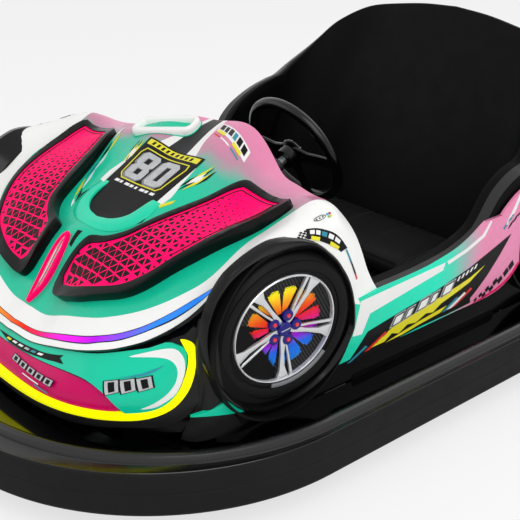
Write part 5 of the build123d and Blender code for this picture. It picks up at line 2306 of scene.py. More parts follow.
@dataclass
class BenchPad:
    """Bench cushion with a swollen cover, a piped front edge and sewn channels."""

    half: float = 0.414
    front: float = 0.106
    back: float = 0.356
    low: float = 0.247
    high: float = 0.302
    corner: float = 0.045
    # where the cover is sewn down, across the bench
    seams: tuple[float, ...] = (-.276, -.138, 0.0, .138, .276)
    # the cloth's cell, its pressure, its steps, and how far the cover may move
    cell: float = 0.006
    pressure: float = 4.0
    steps: int = 20
    cap: float = 0.006

    def build(self) -> None:
        """Makes the pad, then its seams and stitches."""
        pad = self.block()
        pad = self.swell(pad)
        self.channels(pad)
        pad.data.shade_smooth()
        fit(dress(pad, "cushion_cover"), "cushion", ["seat_cushion"])
        self.stitches(pad)

    def outline(self, inset: float) -> np.ndarray:
        """The pad's plan, drawn in from its edge.

        Args:
            inset: How far it is drawn in.

        Returns:
            The plan's corners, one per row.
        """
        half, low, high, r = self.half - inset, self.front + inset, self.back - inset, self.corner
        plan = []
        for cx, cy, start in ((half - r, high - r, 0), (-half + r, high - r, 90), (-half + r, low + r, 180),
                              (half - r, low + r, 270)):
            plan += [(cx + r * math.cos(math.radians(start + t)), cy + r * math.sin(math.radians(start + t)))
                     for t in range(0, 91, 9)]
        return np.array(plan)

    def block(self) -> bpy.types.Object:
        """The pad before it is filled: a crowned closed form.

        Returns:
            The pad.
        """
        rows = []
        for inset, z in ((.030, self.low + .0005), (.010, self.low + .002), (.002, self.low + .010),
                         (.0, self.low + .022), (.002, self.high - .022), (.008, self.high - .009),
                         (.020, self.high - .003), (.050, self.high), (.085, self.high + .0015)):
            plan = self.outline(inset)
            rows.append(np.column_stack([plan, np.full(len(plan), z)]))
        return lofted("bench_pad", rows, loop=True, crease=60)

    def swell(self, pad: bpy.types.Object) -> bpy.types.Object:
        """Fills the cover with a short cloth simulation under pressure.

        Args:
            pad: The crowned block.

        Returns:
            The pad with the swollen shape in its mesh.
        """
        remesh = pad.modifiers.new("cells", "REMESH")
        remesh.mode = "VOXEL"
        remesh.voxel_size = self.cell
        settle(pad)
        start = np.array([v.co[:] for v in pad.data.vertices])
        cloth = pad.modifiers.new("cover", "CLOTH")
        cloth.settings.use_pressure = True
        cloth.settings.uniform_pressure_force = self.pressure
        cloth.settings.effector_weights.gravity = 0.0
        cloth.settings.quality = 4
        scene = bpy.context.scene
        for number in range(1, self.steps + 1):
            scene.frame_set(number)
        settle(pad)
        moved = np.array([v.co[:] for v in pad.data.vertices])
        shift = moved - start
        reach = np.linalg.norm(shift, axis=1)[:, None] + 1e-9
        shift *= np.minimum(1.0, self.cap / reach)
        places = start + shift
        slack, crown = .004, .012
        places = np.clip(places, (-self.half - slack, self.front - slack, self.low),
                         (self.half + slack, self.back + slack, self.high + crown))
        pad.data.vertices.foreach_set("co", places.ravel())
        pad.data.update()
        scene.frame_set(1)
        smooth = pad.modifiers.new("cover", "SUBSURF")
        smooth.levels = smooth.render_levels = 1
        return settle(pad)

    def channels(self, pad: bpy.types.Object) -> None:
        """Draws the cover down along each sewn line and along the front welt.

        Args:
            pad: The pad; its mesh is changed.
        """
        count = len(pad.data.vertices)
        places = np.empty(count * 3)
        pad.data.vertices.foreach_get("co", places)
        places = places.reshape(-1, 3)
        top = np.clip((places[:, 2] - (self.high - .022)) / .020, 0, 1)
        seam_depth, seam_width = .0075, .0075
        for x in self.seams:
            places[:, 2] -= top * seam_depth * np.exp(-((places[:, 0] - x) / seam_width) ** 2)
        front = np.clip((self.front + .030 - places[:, 1]) / .030, 0, 1)
        welt_depth, welt_height = .0025, .0045
        welt = np.exp(-((places[:, 2] - (self.high - .012)) / welt_height) ** 2)
        places[:, 1] += front * welt * welt_depth
        pad.data.vertices.foreach_set("co", places.ravel())
        pad.data.update()

    def stitches(self, pad: bpy.types.Object) -> None:
        """Short thread stitches beside each sewn line.

        Args:
            pad: The finished pad.
        """
        points, facing = [], []
        for x in self.seams:
            for side in (-.0055, .0055):
                for y in np.arange(self.front + .030, self.back - .028, .0075):
                    above, down = Vector((x + side, y, self.high + .05)), Vector((0, 0, -1))
                    hit, place, normal, _ = pad.ray_cast(above, down)
                    if hit:
                        points.append(tuple(place))
                        facing.append(tuple(normal))
        stitch = Stud(6, .0012, .0008, .0010)
        thread = stitch.on("bench_stitches", np.array(points), np.array(facing), "thread")
        fit(thread, "cushion")


@dataclass
class TailLamps:
    """A pair of red lenses in dark surrounds, low on the tail."""

    near: float = 0.817
    far: float = 0.697
    low: float = 0.392
    high: float = 0.430

    def build(self) -> None:
        """Makes the surrounds and the lenses, with fine ribs in the lenses' faces."""
        r = (self.high - self.low) / 2
        ends = [(self.near - .012, (self.high + self.low) / 2), (self.far + .012, (self.high + self.low) / 2)]
        outline = []
        for (s, z), start in zip(ends, (-90, 90)):
            outline += [(s + .013 * math.cos(math.radians(start + t)),
                         z + r * math.sin(math.radians(start + t))) for t in range(0, 181, 15)]
        outer = np.array(outline)
        middle = outer.mean(0)
        inner = middle + (outer - middle) * (.90, .68)
        ring = panel("tail_lamp_ring_left", WALL, outer, .010, .0035, .010, holes=[inner], edge=.0012)
        lens = panel("tail_lamp_lens_left", WALL, middle + (outer - middle) * (.895, .66), .008,
                     lambda p: .0030 + .0016 * np.cos((p[:, 1] - middle[1]) / (r * .66) * 1.4)
                     + .0005 * np.sin(p[:, 0] * 2 * np.pi / .0075), .0035)
        fit_both(dress(ring, "gloss_black"), "trim_black", ["tail_lamps"])
        fit_both(dress(lens, "red_lens"), "red_lamp")


# ---- printed marks ------------------------------------------------------------------
class Sides(Enum):
    """On which of the car's sides a mark is printed."""

    ONE = "one"
    BOTH = "both"


# the record's finish that each print takes, and how far a print stands above the one under it
PRINT_SLOTS = {
    "white_print": "shell_white", "black_print": "trim_black", "stripe_grey": "trim_black",
    "grey_print": "trim_black", "yellow_print": "yellow_light", "red_print": "red_lamp",
    "blue_print": "shell_teal", "chrome_print": "shell_white", "magenta_print": "shell_pink",
    "cyan_print": "shell_teal", "green_print": "shell_teal",
}
PRINT_STEP = .0004


@dataclass
class Prints:
    """Thin printed shapes on one surface, gathered into one piece for each finish."""

    name: str
    skin: Skin
    lift: Lift = 0.0009
    facet: float = 0.012
    thick: float = 0.0010
    shapes: dict[str, list[bpy.types.Object]] = field(default_factory=dict)

    def add(self, finish: str, outline: Line, level: int = 0, holes: Sequence[Line] = ()) -> None:
        """Adds a shape.

        Args:
            finish: The finish's name.
            outline: The shape's edge in the surface's plan.
            level: How many prints lie under it.
            holes: Openings in the shape.
        """
        made = self.shapes.setdefault(finish, [])
        rise = level * PRINT_STEP

        def height(plan: np.ndarray) -> np.ndarray:
            """The print's top face above the surface."""
            base = self.lift(plan) if callable(self.lift) else np.full(len(plan), self.lift)
            return base + rise

        made.append(panel(f"{self.name}_{finish}_{len(made)}", self.skin, outline, self.thick, height,
                          self.facet, holes))

    def nested(self, outline: Line, level: int, *coats: tuple[str, float]) -> None:
        """Adds shapes on top of each other, all from one outline.

        Args:
            outline: The outline in the surface's plan.
            level: How many prints lie under the first one.
            *coats: The finish of each shape, and how far it is drawn in.
        """
        for k, (finish, by) in enumerate(coats):
            self.add(finish, drawn_in(outline, by), level + k)

    def build(self, sides: Sides = Sides.ONE) -> None:
        """Joins and fits the shapes.

        Args:
            sides: Whether the other side has them too.
        """
        for finish, made in self.shapes.items():
            piece = dress(one_piece(f"{self.name}_{finish}", made), finish)
            put = fit_both if sides is Sides.BOTH else fit
            put(piece, PRINT_SLOTS[finish])


def slanted(corner: Sequence[float], across: Sequence[float], up: Sequence[float]) -> np.ndarray:
    """A four-sided mark from one corner and its two sides."""
    c, a, u = (np.array(v, float) for v in (corner, across, up))
    return np.array([c, c + a, c + a + u, c + u])


# chunky numerals in a box one wide and one and a half high: outer edge, then openings
NUMERALS = {
    "8": ([(.16, 0), (.84, 0), (1, .16), (1, .62), (.88, .75), (1, .88), (1, 1.34), (.84, 1.5), (.16, 1.5),
           (0, 1.34), (0, .88), (.12, .75), (0, .62), (0, .16)],
          [[(.34, .26), (.66, .26), (.66, .60), (.34, .60)],
           [(.34, .90), (.66, .90), (.66, 1.24), (.34, 1.24)]]),
    "0": ([(.18, 0), (.82, 0), (1, .18), (1, 1.32), (.82, 1.5), (.18, 1.5), (0, 1.32), (0, .18)],
          [[(.36, .30), (.64, .30), (.64, 1.20), (.36, 1.20)]]),
}


# ---- bonnet lamps -------------------------------------------------------------------
LAMP_OUTER = ((.058, -.706), (.066, -.719), (.084, -.7255), (.110, -.727), (.150, -.722), (.195, -.704),
              (.243, -.677), (.275, -.647), (.303, -.609), (.328, -.563), (.353, -.500), (.374, -.442),
              (.386, -.390), (.388, -.352), (.382, -.338))
LAMP_INNER = ((.252, -.343), (.240, -.352), (.226, -.385), (.207, -.432), (.180, -.490), (.158, -.542),
              (.140, -.577), (.108, -.604), (.072, -.619), (.060, -.630), (.056, -.655), (.056, -.685))
FIELD_OUTER = ((.090, -.706), (.130, -.707), (.170, -.697), (.213, -.679), (.245, -.659), (.275, -.629),
               (.297, -.599), (.317, -.555), (.335, -.500), (.352, -.440), (.363, -.395), (.367, -.354))
FIELD_INNER = ((.255, -.363), (.240, -.390), (.219, -.445), (.195, -.500), (.171, -.550), (.150, -.588),
               (.114, -.617), (.080, -.634), (.070, -.656), (.074, -.693))


@dataclass
class BonnetLamps:
    """Two raised lamp pods: glossy frame, pink field and a lattice of black triangles."""

    cell: float = 0.0250
    recess: float = 0.0028
    # the lattice: its scale in plan, its rows' direction in degrees, its first corner and how far it runs
    slope: tuple[float, float] = (.97, .86)
    lattice_angle: float = 57.0
    lattice_start: tuple[float, float] = (.148, -.634)
    lattice_reach: float = .33

    def build(self) -> None:
        """Makes the pods on the left and their twins on the right."""
        outer = np.vstack([curve_through(LAMP_OUTER, 5), curve_through(LAMP_INNER, 5)])
        field_edge = np.vstack([curve_through(FIELD_OUTER, 4), curve_through(FIELD_INNER, 4)])
        ring = panel("lamp_frame_left", UPPER, outer, .034, self.rise, .010, holes=[field_edge], edge=.0035)
        base = panel("lamp_field_left", UPPER, drawn_in(field_edge, -.0015), .006,
                     lambda p: self.rise(p) - self.recess, .010)
        fit_both(dress(ring, "lamp_black"), "trim_black", ["lamp_frames"])
        fit_both(dress(base, "lamp_pink"), "lamp_pink", ["lamp_glasses"])
        self.inset_line(field_edge)
        self.lattice(field_edge)

    def rise(self, plan: np.ndarray) -> np.ndarray:
        """Height of a pod's top above the bonnet: tallest outside, lowest at the rear.

        Args:
            plan: Plan points, one per row.

        Returns:
            A height for each point.
        """
        y = plan[:, 1]
        base = np.interp(y, (-.745, -.68, -.58, -.45, -.38, -.34), (.019, .024, .026, .024, .017, .012))
        inner = np.interp(y, (-.74, -.63, -.54, -.35), (.058, .055, .158, .245))
        outer = np.interp(y, (-.74, -.69, -.60, -.52, -.43, -.35), (.11, .235, .320, .357, .383, .388))
        share = np.clip((plan[:, 0] - inner) / np.maximum(outer - inner, .02), 0, 1)
        return base + .007 * share ** 2

    def inset_line(self, field_edge: np.ndarray) -> None:
        """The fine dark line inside the field's edge.

        Args:
            field_edge: The pink field's outline.
        """
        rear = field_edge[field_edge[:, 1] > -.60]
        outer, inner = drawn_in(rear, .0075)[2:-2], drawn_in(rear, .0098)[2:-2]
        line = Prints("lamp_inset_line", UPPER, lambda p: self.rise(p) - self.recess + .0011, .006)
        line.add("black_print", np.vstack([outer, inner[::-1]]))
        line.build(Sides.BOTH)

    def lattice(self, field_edge: np.ndarray) -> None:
        """Black triangles, nearly whole cells at the front and mere dots towards the rear.

        Args:
            field_edge: The pink field's outline.
        """
        c, half = self.cell, self.cell * math.sqrt(3) / 2
        turn = math.radians(self.lattice_angle)
        ahead = np.array((math.cos(turn), math.sin(turn)))
        beside = np.array((-math.sin(turn), math.cos(turn)))
        start = np.array(self.lattice_start)
        plans, spins = [], []
        for i in range(-26, 27):
            for j in range(-17, 18):
                corner = ahead * (i + j / 2) * c + beside * j * half
                plans += [corner + ahead * c / 2 + beside * half / 3,
                          corner + ahead * c + beside * half * 2 / 3]
                spins += [0.0, math.pi]
        plan, spin = start + np.array(plans) * self.slope, np.array(spins)
        reach = (plan - start) @ ahead
        kept = inside(plan, drawn_in(field_edge, .003)) & (reach < self.lattice_reach)
        plan, spin, reach = plan[kept], spin[kept], reach[kept]
        size = np.interp(reach, (-.08, .02, .08, .14, .20, .27, .33), (.88, .83, .70, .54, .38, .22, .10))
        rim = clearance(plan, field_edge)
        size *= np.clip(rim / .012, .45, 1)
        places = UPPER.lifted(plan, self.rise(plan) - self.recess)
        normal = UPPER.normal(plan)
        cell = c / math.sqrt(3)
        turns = lattice_turn(normal, beside * self.slope, spin)
        stud = Stud(3, cell, cell * .94, .0010)
        fit_both(stud.on("lamp_lattice_left", places, normal, "black_print", size, turns), "trim_black")


def lattice_turn(facing: np.ndarray, beside: Sequence[float], spin: np.ndarray) -> np.ndarray:
    """How far each stud turns so that its corner lines up with a lattice's rows.

    Args:
        facing: The direction in which each stud stands up.
        beside: The direction in plan across the lattice's rows.
        spin: Further turn of each stud, in radians.

    Returns:
        The turns, in radians.
    """
    turns = []
    for out, extra in zip(facing, spin):
        up = Vector(out).normalized()
        own = Vector((0, 0, 1)).rotation_difference(up) @ Vector((1, 0, 0))
        goal = Vector((*beside, -(beside[0] * up.x + beside[1] * up.y) / up.z)).normalized()
        turns.append(math.atan2(up.dot(own.cross(goal)), own.dot(goal)) + extra)
    return np.array(turns)


@dataclass
class NoseLamp:
    """Leaf-shaped lamp on the nose: pink rim round a faceted clear lens, and the slot behind it."""

    rim_width: float = 0.0045

    def build(self) -> None:
        """Makes the rim, the lens and the slot."""
        left = curve_through([(0, -.757), (.0085, -.738), (.0155, -.712), (.0175, -.690), (.0150, -.668),
                              (.0085, -.650), (0, -.641)], 6)
        leaf = mirrored(left)
        lens = drawn_in(leaf, self.rim_width)
        rim = panel("nose_lamp_rim", UPPER, leaf, .018, .0115, .006, holes=[lens], edge=.0014)
        fit(dress(rim, "lamp_pink"), "lamp_pink", ["nose_lamp"])
        glass = panel("nose_lamp_lens", UPPER, drawn_in(leaf, self.rim_width * .8), .012,
                      lambda p: .0075 - .18 * np.abs(p[:, 0]), .004, crease=12)
        fit(dress(glass, "clear_lens"), "lamp_pink")
        lines = Prints("nose_lamp_lines", UPPER, lambda p: .0079 - .18 * np.abs(p[:, 0]), .006)
        lines.add("magenta_print", [(-.0012, -.744), (.0012, -.744), (.0016, -.655), (-.0016, -.655)])
        lines.add("magenta_print", [(.0042, -.722), (.0060, -.722), (.0072, -.672), (.0050, -.672)], 1)
        lines.add("white_print", [(-.0070, -.716), (-.0050, -.720), (-.0044, -.670), (-.0066, -.672)], 1)
        lines.build()
        slot = Prints("nose_slot", UPPER)
        slot.add("black_print", [(.008, -.627), (.019, -.623), (.0245, -.657), (.0165, -.656)])
        slot.build()


# ---- bonnet graphics and tray -------------------------------------------------------
@dataclass
class BonnetGraphics:
    """Number plate, stripes, dark nose panel with its teal surround, and the small marks."""

    def build(self) -> None:
        """Prints every mark of the bonnet."""
        self.surround()
        self.stripes()
        self.plate()
        self.marks()

    def surround(self) -> None:
        """The raised teal surround, painted a lighter teal than the bonnet as its highlight, and the dark
        panel inside it.
        """
        bow = curve_through([(.112, -.478), (.117, -.512), (.109, -.550), (.082, -.581), (.042, -.598),
                             (0, -.603)], 6)
        oval = curve_through([(.082, -.478), (.081, -.512), (.070, -.540), (.041, -.561), (0, -.570)], 6)
        outer, inner = (np.vstack([half, flipped(half[::-1])[1:]]) for half in (bow, oval))
        ring = panel("bonnet_surround", UPPER, np.vstack([outer, inner[::-1]]), .010,
                     lambda p: .0016 + .0062 * np.clip(clearance(p, outer) / .016, 0, 1) ** .7
                     * np.clip((-.470 - p[:, 1]) / .040, .1, 1), .008, edge=.0016)
        fit(dress(ring, "surround_highlight_teal"), "shell_teal")
        dark = Prints("nose_panel", UPPER, .0022, .010)
        dark.add("black_print", drawn_in(inner, -.0015))
        dark.build()

    def stripes(self) -> None:
        """The grey stripe with white edges, from the plate to the cowl."""
        marks = Prints("centre_stripe", UPPER)
        half = curve_through([(.033, -.345), (.0285, -.315), (.024, -.280), (.0185, -.224)], 6)
        edge = curve_through([(.066, -.345), (.056, -.325), (.045, -.300), (.036, -.250), (.031, -.223)], 6)
        marks.add("stripe_grey", np.vstack([half, flipped(half[::-1])]))
        for turn in (1, -1):
            side = np.vstack([half, edge[::-1]]) * (turn, 1)
            marks.add("white_print", side)
        marks.build()

    def plate(self) -> None:
        """The black plate: yellow outline, bright numerals, a bar at each end."""
        marks = Prints("number_plate", Stretched(UPPER, 1.30), .0012, .008)
        marks.add("black_print", [(-.0785, -.3455), (.0785, -.3455), (.0745, -.488), (-.0745, -.488)])
        frame_line = np.array([(-.060, -.372), (-.016, -.372), (.018, -.372), (.062, -.372), (.066, -.386),
                               (.058, -.450), (.050, -.460), (-.050, -.460), (-.062, -.448), (-.066, -.386)])
        marks.add("yellow_print", frame_line, 1, [drawn_in(frame_line, .0026)])
        marks.add("yellow_print", [(-.072, -.3495), (.072, -.3495), (.0715, -.3635), (-.0715, -.3635)], 1)
        for k in range(9):
            x = -.060 + .0135 * k
            marks.add("black_print", slanted((x, -.3612), (.0062, 0), (.0012, .0085)), 2)
        for x, numeral in ((-.052, "8"), (.004, "0")):
            edge, holes = NUMERALS[numeral]
            place = np.array((x, -.4530))
            size = np.array((.047, .0485))
            whole = place + np.array(edge) * size
            marks.add("grey_print", drawn_in(whole, -.0022) + (-.0022, -.0018), 2,
                      [drawn_in(place + np.array(h) * size, .0012) for h in holes])
            marks.add("chrome_print", whole, 4, [place + np.array(h) * size for h in holes])
        for k, width in enumerate((.012, .007, .012, .009, .006, .012, .008, .011)):
            x = -.058 + .0146 * k
            marks.add("white_print", slanted((x, -.4715), (width, 0), (.001, .0065)), 1)
        for k, finish in enumerate(("red_print", "white_print", "blue_print")):
            marks.add(finish, slanted((-.060 + .040 * k, -.4800), (.036, 0), (.0005, .0022)), 1)
        marks.build()

    def marks(self) -> None:
        """White arrows beside the plate, splinters, small stickers and dots."""
        both = Prints("bonnet_arrows", UPPER)
        both.add("white_print", [(.1010, -.372), (.110, -.420), (.119, -.455), (.1145, -.484),
                                 (.0980, -.487)])
        both.add("white_print", [(.096, -.500), (.090, -.512), (.094, -.547), (.106, -.527)], 2)
        both.add("black_print", [(.112, -.505), (.107, -.520), (.106, -.552), (.118, -.534)])
        both.build(Sides.BOTH)
        one = Prints("bonnet_marks", UPPER)
        self.splinters(one, (.114, -.434), (.150, -.357), 1)
        self.splinters(one, (-.097, -.436), (-.122, -.362), -1)
        one.add("yellow_print", [(.109, -.484), (.134, -.455), (.135, -.465), (.119, -.487)])
        self.sticker(one)
        for k in range(7):
            middle = (.290 + .0075 * k, -.333 - .002 * k)
            one.add("white_print", disc(middle, .0019, 10))
        self.sliver_chain(one)
        one.build()

    def splinters(self, marks: Prints, tip: Sequence[float], end: Sequence[float], turn: int) -> None:
        """A burst of slim yellow, white and black slivers.

        Args:
            marks: The prints it joins.
            tip: Its front end.
            end: Its rear end.
            turn: 1 when it leans to the left, -1 to the right.
        """
        low, high = np.array(tip), np.array(end)
        along = high - low
        beside = np.array((-along[1], along[0])) * .26 * turn
        slivers = (("black_print", 0, .00, 1.0, .30, .10, 0), ("yellow_print", .10, -.28, .92, -.10, .09, 1),
                   ("white_print", .22, .18, .80, .26, .12, 2), ("black_print", .05, .35, .70, .55, .10, 0),
                   ("yellow_print", .34, .40, 1.04, .52, .08, 1),
                   ("white_print", .42, -.10, .72, .06, .10, 2),
                   ("black_print", .46, -.42, 1.02, -.20, .09, 0))
        for finish, a, u, b, v, width, level in slivers:
            start, stop = low + along * a + beside * u, low + along * b + beside * v
            middle = (start + stop) / 2
            marks.add(finish, [start, middle - beside * width * 2, stop, middle + beside * width * 2], level)

    def sticker(self, marks: Prints) -> None:
        """Slanted bars on the hump beside the wheel.

        Args:
            marks: The prints it joins.
        """
        corner, along, down = np.array((.036, -.238)), np.array((.148, -.046)), np.array((.010, -.030))
        marks.add("white_print", slanted(corner, along, down * .9))
        checks = ((.05, .13, "black_print"), (.22, .10, "black_print"), (.36, .12, "stripe_grey"),
                  (.52, .10, "blue_print"), (.66, .12, "black_print"), (.82, .12, "black_print"))
        for k, (start, width, finish) in enumerate(checks):
            place = corner + along * start + down * (.12 + .02 * (k % 2))
            marks.add(finish, slanted(place, along * width, down * .52), 1)
        for start in (.04, .60):
            place = corner + along * start + down * .74
            marks.add("yellow_print", slanted(place, along * .26, down * .26), 2)
        for start, width, finish in ((.0, .20, "red_print"), (.24, .30, "white_print"),
                                     (.60, .26, "blue_print")):
            marks.add(finish, slanted(corner + along * start + down * 1.18, along * width, down * .12))

    def sliver_chain(self, marks: Prints) -> None:
        """Slivers that follow the inner edge of the right lamp.

        Args:
            marks: The prints they join.
        """
        line = curve_through([(-.104, -.571), (-.125, -.548), (-.165, -.490), (-.196, -.430), (-.217, -.376),
                              (-.245, -.318)], 4)
        finishes = ("white_print", "black_print", "yellow_print", "white_print", "blue_print")
        for k in range(0, len(line) - 3, 2):
            a, b = line[k], line[min(k + 4, len(line) - 1)]
            beside = np.array((-(b - a)[1], (b - a)[0]))
            beside = beside / np.linalg.norm(beside) * .0042
            shift = beside * (1.4 if k % 4 else -.6)
            middle = (a + b) / 2 - shift
            outline = [a - shift, middle - beside, b - shift, middle + beside * .4]
            marks.add(finishes[(k // 2) % 5], outline, (k // 2) % 3)


@dataclass
class Tray:
    """Small white tray on the right of the bonnet, with a teal dish."""

    centre: tuple[float, float] = (-.100, -.299)
    size: tuple[float, float] = (.172, .060)
    lean: float = 0.36
    corner: float = 0.024

    def build(self) -> None:
        """Makes the ring, the dish and the skirt at its foot."""
        rows = []
        for inset, lift in ((.0, -.004), (.0, .009), (.0015, .0145), (.0045, .0180), (.0080, .0190),
                            (.0115, .0180), (.0140, .0145), (.0155, .006), (.0155, -.004)):
            plan = self.outline(inset)
            rows.append(UPPER.lifted(plan, lift))
        ring = lofted("tray_ring", rows, loop=True, ring=True, crease=60)
        fit(dress(ring, "shell_white"), "shell_white", ["bonnet_tray"])
        dish = panel("tray_dish", UPPER, self.outline(.0145), .006, .0022, .008, edge=.001)
        fit(dress(dish, "tray_teal"), "shell_teal")
        foot = self.outline(-.003)
        skirt = panel("tray_skirt", UPPER, foot, .004, .0022, .008, holes=[self.outline(.004)])
        fit(dress(skirt, "tray_teal"), "shell_teal")

    def outline(self, inset: float) -> np.ndarray:
        """The tray's plan, drawn in from its edge.

        Args:
            inset: How far it is drawn in; negative grows it.

        Returns:
            The plan's corners, one per row.
        """
        wide, deep, r = self.size[0] / 2 - inset, self.size[1] / 2 - inset, max(self.corner - inset, .004)
        plan = []
        for sx, sy, start in ((1, 1, 0), (-1, 1, 90), (-1, -1, 180), (1, -1, 270)):
            for t in range(0, 91, 10):
                turn = math.radians(start + t)
                plan.append((sx * (wide - r) + r * math.cos(turn), sy * (deep - r) + r * math.sin(turn)))
        x, y = np.array(plan).T
        across, along = math.cos(self.lean), math.sin(self.lean)
        return np.column_stack([x * across - y * along, x * along + y * across]) + np.array(self.centre)


# ---- fender, sill and nose graphics -------------------------------------------------
@dataclass
class FenderGraphics:
    """Small marks on the fenders: an oval with dots, four squares, and the band behind the arch."""

    def build(self) -> None:
        """Prints the marks on both sides."""
        marks = Prints("fender_marks", UPPER, .0013, .007)
        oval = [(.4705 + .0062 * math.cos(t), -.3500 + .0165 * math.sin(t))
                for t in np.linspace(0, 2 * math.pi, 25)[:-1]]
        marks.add("black_print", oval, 0, [drawn_in(oval, .0010)])
        for k in range(3):
            marks.add("black_print", disc((.4705, -.3590 + .0085 * k), .0018, 10))
        for x, y, finish in ((.4665, -.3300, "cyan_print"), (.4665, -.3225, "magenta_print"),
                             (.4745, -.3310, "green_print"), (.4745, -.3235, "yellow_print")):
            marks.add(finish, slanted((x, y), (.0058, 0), (0, .0058)))
        self.band(marks)
        marks.build(Sides.BOTH)

    def band(self, marks: Prints) -> None:
        """The curved band over the arch: checks, a black band with blocks, bars, and a thin tail.

        Args:
            marks: The prints it joins.
        """
        upper = curve_through([(.488, -.398), (.492, -.378), (.501, -.362), (.520, -.340), (.545, -.318),
                               (.575, -.2965)], 5)
        lower = curve_through([(.514, -.410), (.520, -.392), (.530, -.374), (.545, -.354), (.562, -.334),
                               (.578, -.318)], 5)
        marks.add("black_print", np.vstack([upper, lower[::-1]]))
        width = lower - upper
        blocks = [(k, k + 3, .18, .55, "blue_print" if k == 10 else "white_print", 1)
                  for k in range(2, len(upper) - 5, 4)]
        bars = [(a, b, .72, 1.04, "yellow_print", 2) for a, b in ((3, 9), (16, 22))]
        for a, b, near, far, finish, level in blocks + bars:
            quad = [upper[a] + width[a] * near, upper[b] + width[b] * near,
                    upper[b] + width[b] * far, upper[a] + width[a] * far]
            marks.add(finish, quad, level)
        for i in range(5):
            for j in range(5):
                if (i + j) % 2 == 0 and abs(j - 2) <= i:
                    corner = np.array((.4905 + .0052 * j, -.4085 - .0062 * (4 - i) + .0025))
                    marks.add("black_print", slanted(corner, (.0050, .0004), (.0004, .0058)))
        tail = curve_through([(.577, -.2985), (.601, -.2865), (.632, -.2720), (.650, -.2645)], 4)
        for (a, b), finish in (((0, 5), "blue_print"), ((4, 9), "stripe_grey"), ((8, 12), "red_print")):
            run = tail[a:b + 1]
            marks.add(finish, np.vstack([run, run[::-1] + (.0022, -.0036)]))


@dataclass
class SillGraphics:
    """Stripes, the dark lower panel and its bright slashes along both flanks."""

    def build(self) -> None:
        """Prints the flank's marks on both sides."""
        marks = Prints("sill_marks", WALL, .0010, .012)
        marks.add("white_print", [(-.250, .394), (-.264, .312), (-.235, .308), (-.218, .354), (.016, .387),
                                  (.022, .404)])
        marks.add("white_print", [(.028, .405), (.095, .418), (.150, .437), (.177, .466), (.181, .462),
                                  (.158, .430), (.100, .410), (.034, .396)])
        marks.add("black_print", [(-.215, .307), (-.106, .324), (.002, .338), (.115, .362), (.262, .409),
                                  (.226, .362), (.190, .318), (.158, .284), (.144, .271), (.150, .256),
                                  (.060, .252), (-.031, .252), (-.141, .245), (-.262, .238)])
        marks.add("yellow_print", [(-.192, .256), (-.154, .278), (-.135, .288), (-.067, .300), (.020, .316),
                                   (.081, .326), (.124, .335), (.174, .353), (.124, .322), (.080, .309),
                                   (.030, .296), (.006, .280), (-.020, .286), (-.050, .272), (-.080, .278),
                                   (-.105, .262), (-.130, .272), (-.150, .256)], 1)
        marks.add("yellow_print", [(-.142, .252), (-.090, .262), (-.037, .271), (.012, .277), (.054, .282),
                                   (.036, .268), (-.033, .261), (-.090, .253)], 1)
        marks.add("red_print", [(-.156, .286), (-.213, .252), (-.198, .252), (-.146, .280)], 1)
        marks.add("red_print", [(.133, .305), (.080, .268), (.090, .268), (.142, .299)], 1)
        marks.add("white_print", [(.113, .299), (.058, .268), (.076, .267), (.120, .294)], 1)
        marks.add("blue_print", [(.086, .295), (.041, .266), (.054, .266), (.094, .290)], 1)
        marks.add("blue_print", [(-.214, .270), (-.262, .240), (-.252, .240), (-.206, .264)], 1)
        for k in range(5):
            marks.add("white_print", slanted((.074 + .0145 * k, .3400 + .0035 * k), (.0062, .0012),
                                             (.0050, .0105)), 2)
        self.blocks(marks)
        self.rear(marks)
        marks.build(Sides.BOTH)

    def blocks(self, marks: Prints) -> None:
        """A row of plain slanted blocks with pale edges, where a car of this kind carries a large mark.

        Args:
            marks: The prints they join.
        """
        for k, (width, rise) in enumerate(((.030, .026), (.022, .024), (.032, .027), (.022, .025),
                                           (.034, .028))):
            start = np.array((-.140 + .0405 * k, .2915 + .0058 * k))
            marks.nested(slanted(start, (width, width * .14), (.010, rise)), 2, ("chrome_print", -.0022),
                         ("black_print", 0), ("white_print", .0030))

    def rear(self, marks: Prints) -> None:
        """Black diamonds and a magenta edge ahead of the rear wheel, and the slashes above it.

        Args:
            marks: The prints they join.
        """
        marks.add("magenta_print", [(.160, .2495), (.205, .2570), (.245, .2640), (.275, .2770), (.297, .2970),
                                    (.312, .3200), (.319, .3160), (.303, .2905), (.280, .2700), (.250, .2570),
                                    (.200, .2500)])
        for k, (s, z) in enumerate(((.168, .258), (.184, .266), (.198, .262), (.206, .276), (.222, .272),
                                    (.232, .288), (.250, .288), (.268, .304), (.284, .318))):
            wide, tall = .0075 + .0006 * k, .0065 + .0009 * k
            marks.add("black_print", [(s, z - tall), (s + wide, z), (s + .002, z + tall),
                                      (s - wide + .002, z)], 1)
        marks.add("white_print", [(.236, .440), (.262, .476), (.282, .508), (.290, .505), (.272, .470),
                                  (.244, .438)])
        marks.add("blue_print", [(.228, .433), (.244, .449), (.262, .462), (.264, .456), (.247, .441),
                                 (.232, .428)])
        for k in range(3):
            marks.add("black_print", slanted((.247 + .017 * k, .4260 + .0115 * k), (.011, .007),
                                             (.008, .012)))
        marks.add("white_print", [(.62, .300), (1.0, .300), (1.0, .322), (.66, .322)])
        marks.add("black_print", [(.585, .262), (1.0, .262), (1.0, .292), (.615, .292)])
        for k in range(12):
            marks.add("magenta_print" if k % 2 else "yellow_print",
                      slanted((.630 + .030 * k, .267), (.012, 0), (.008, .020)), 1)


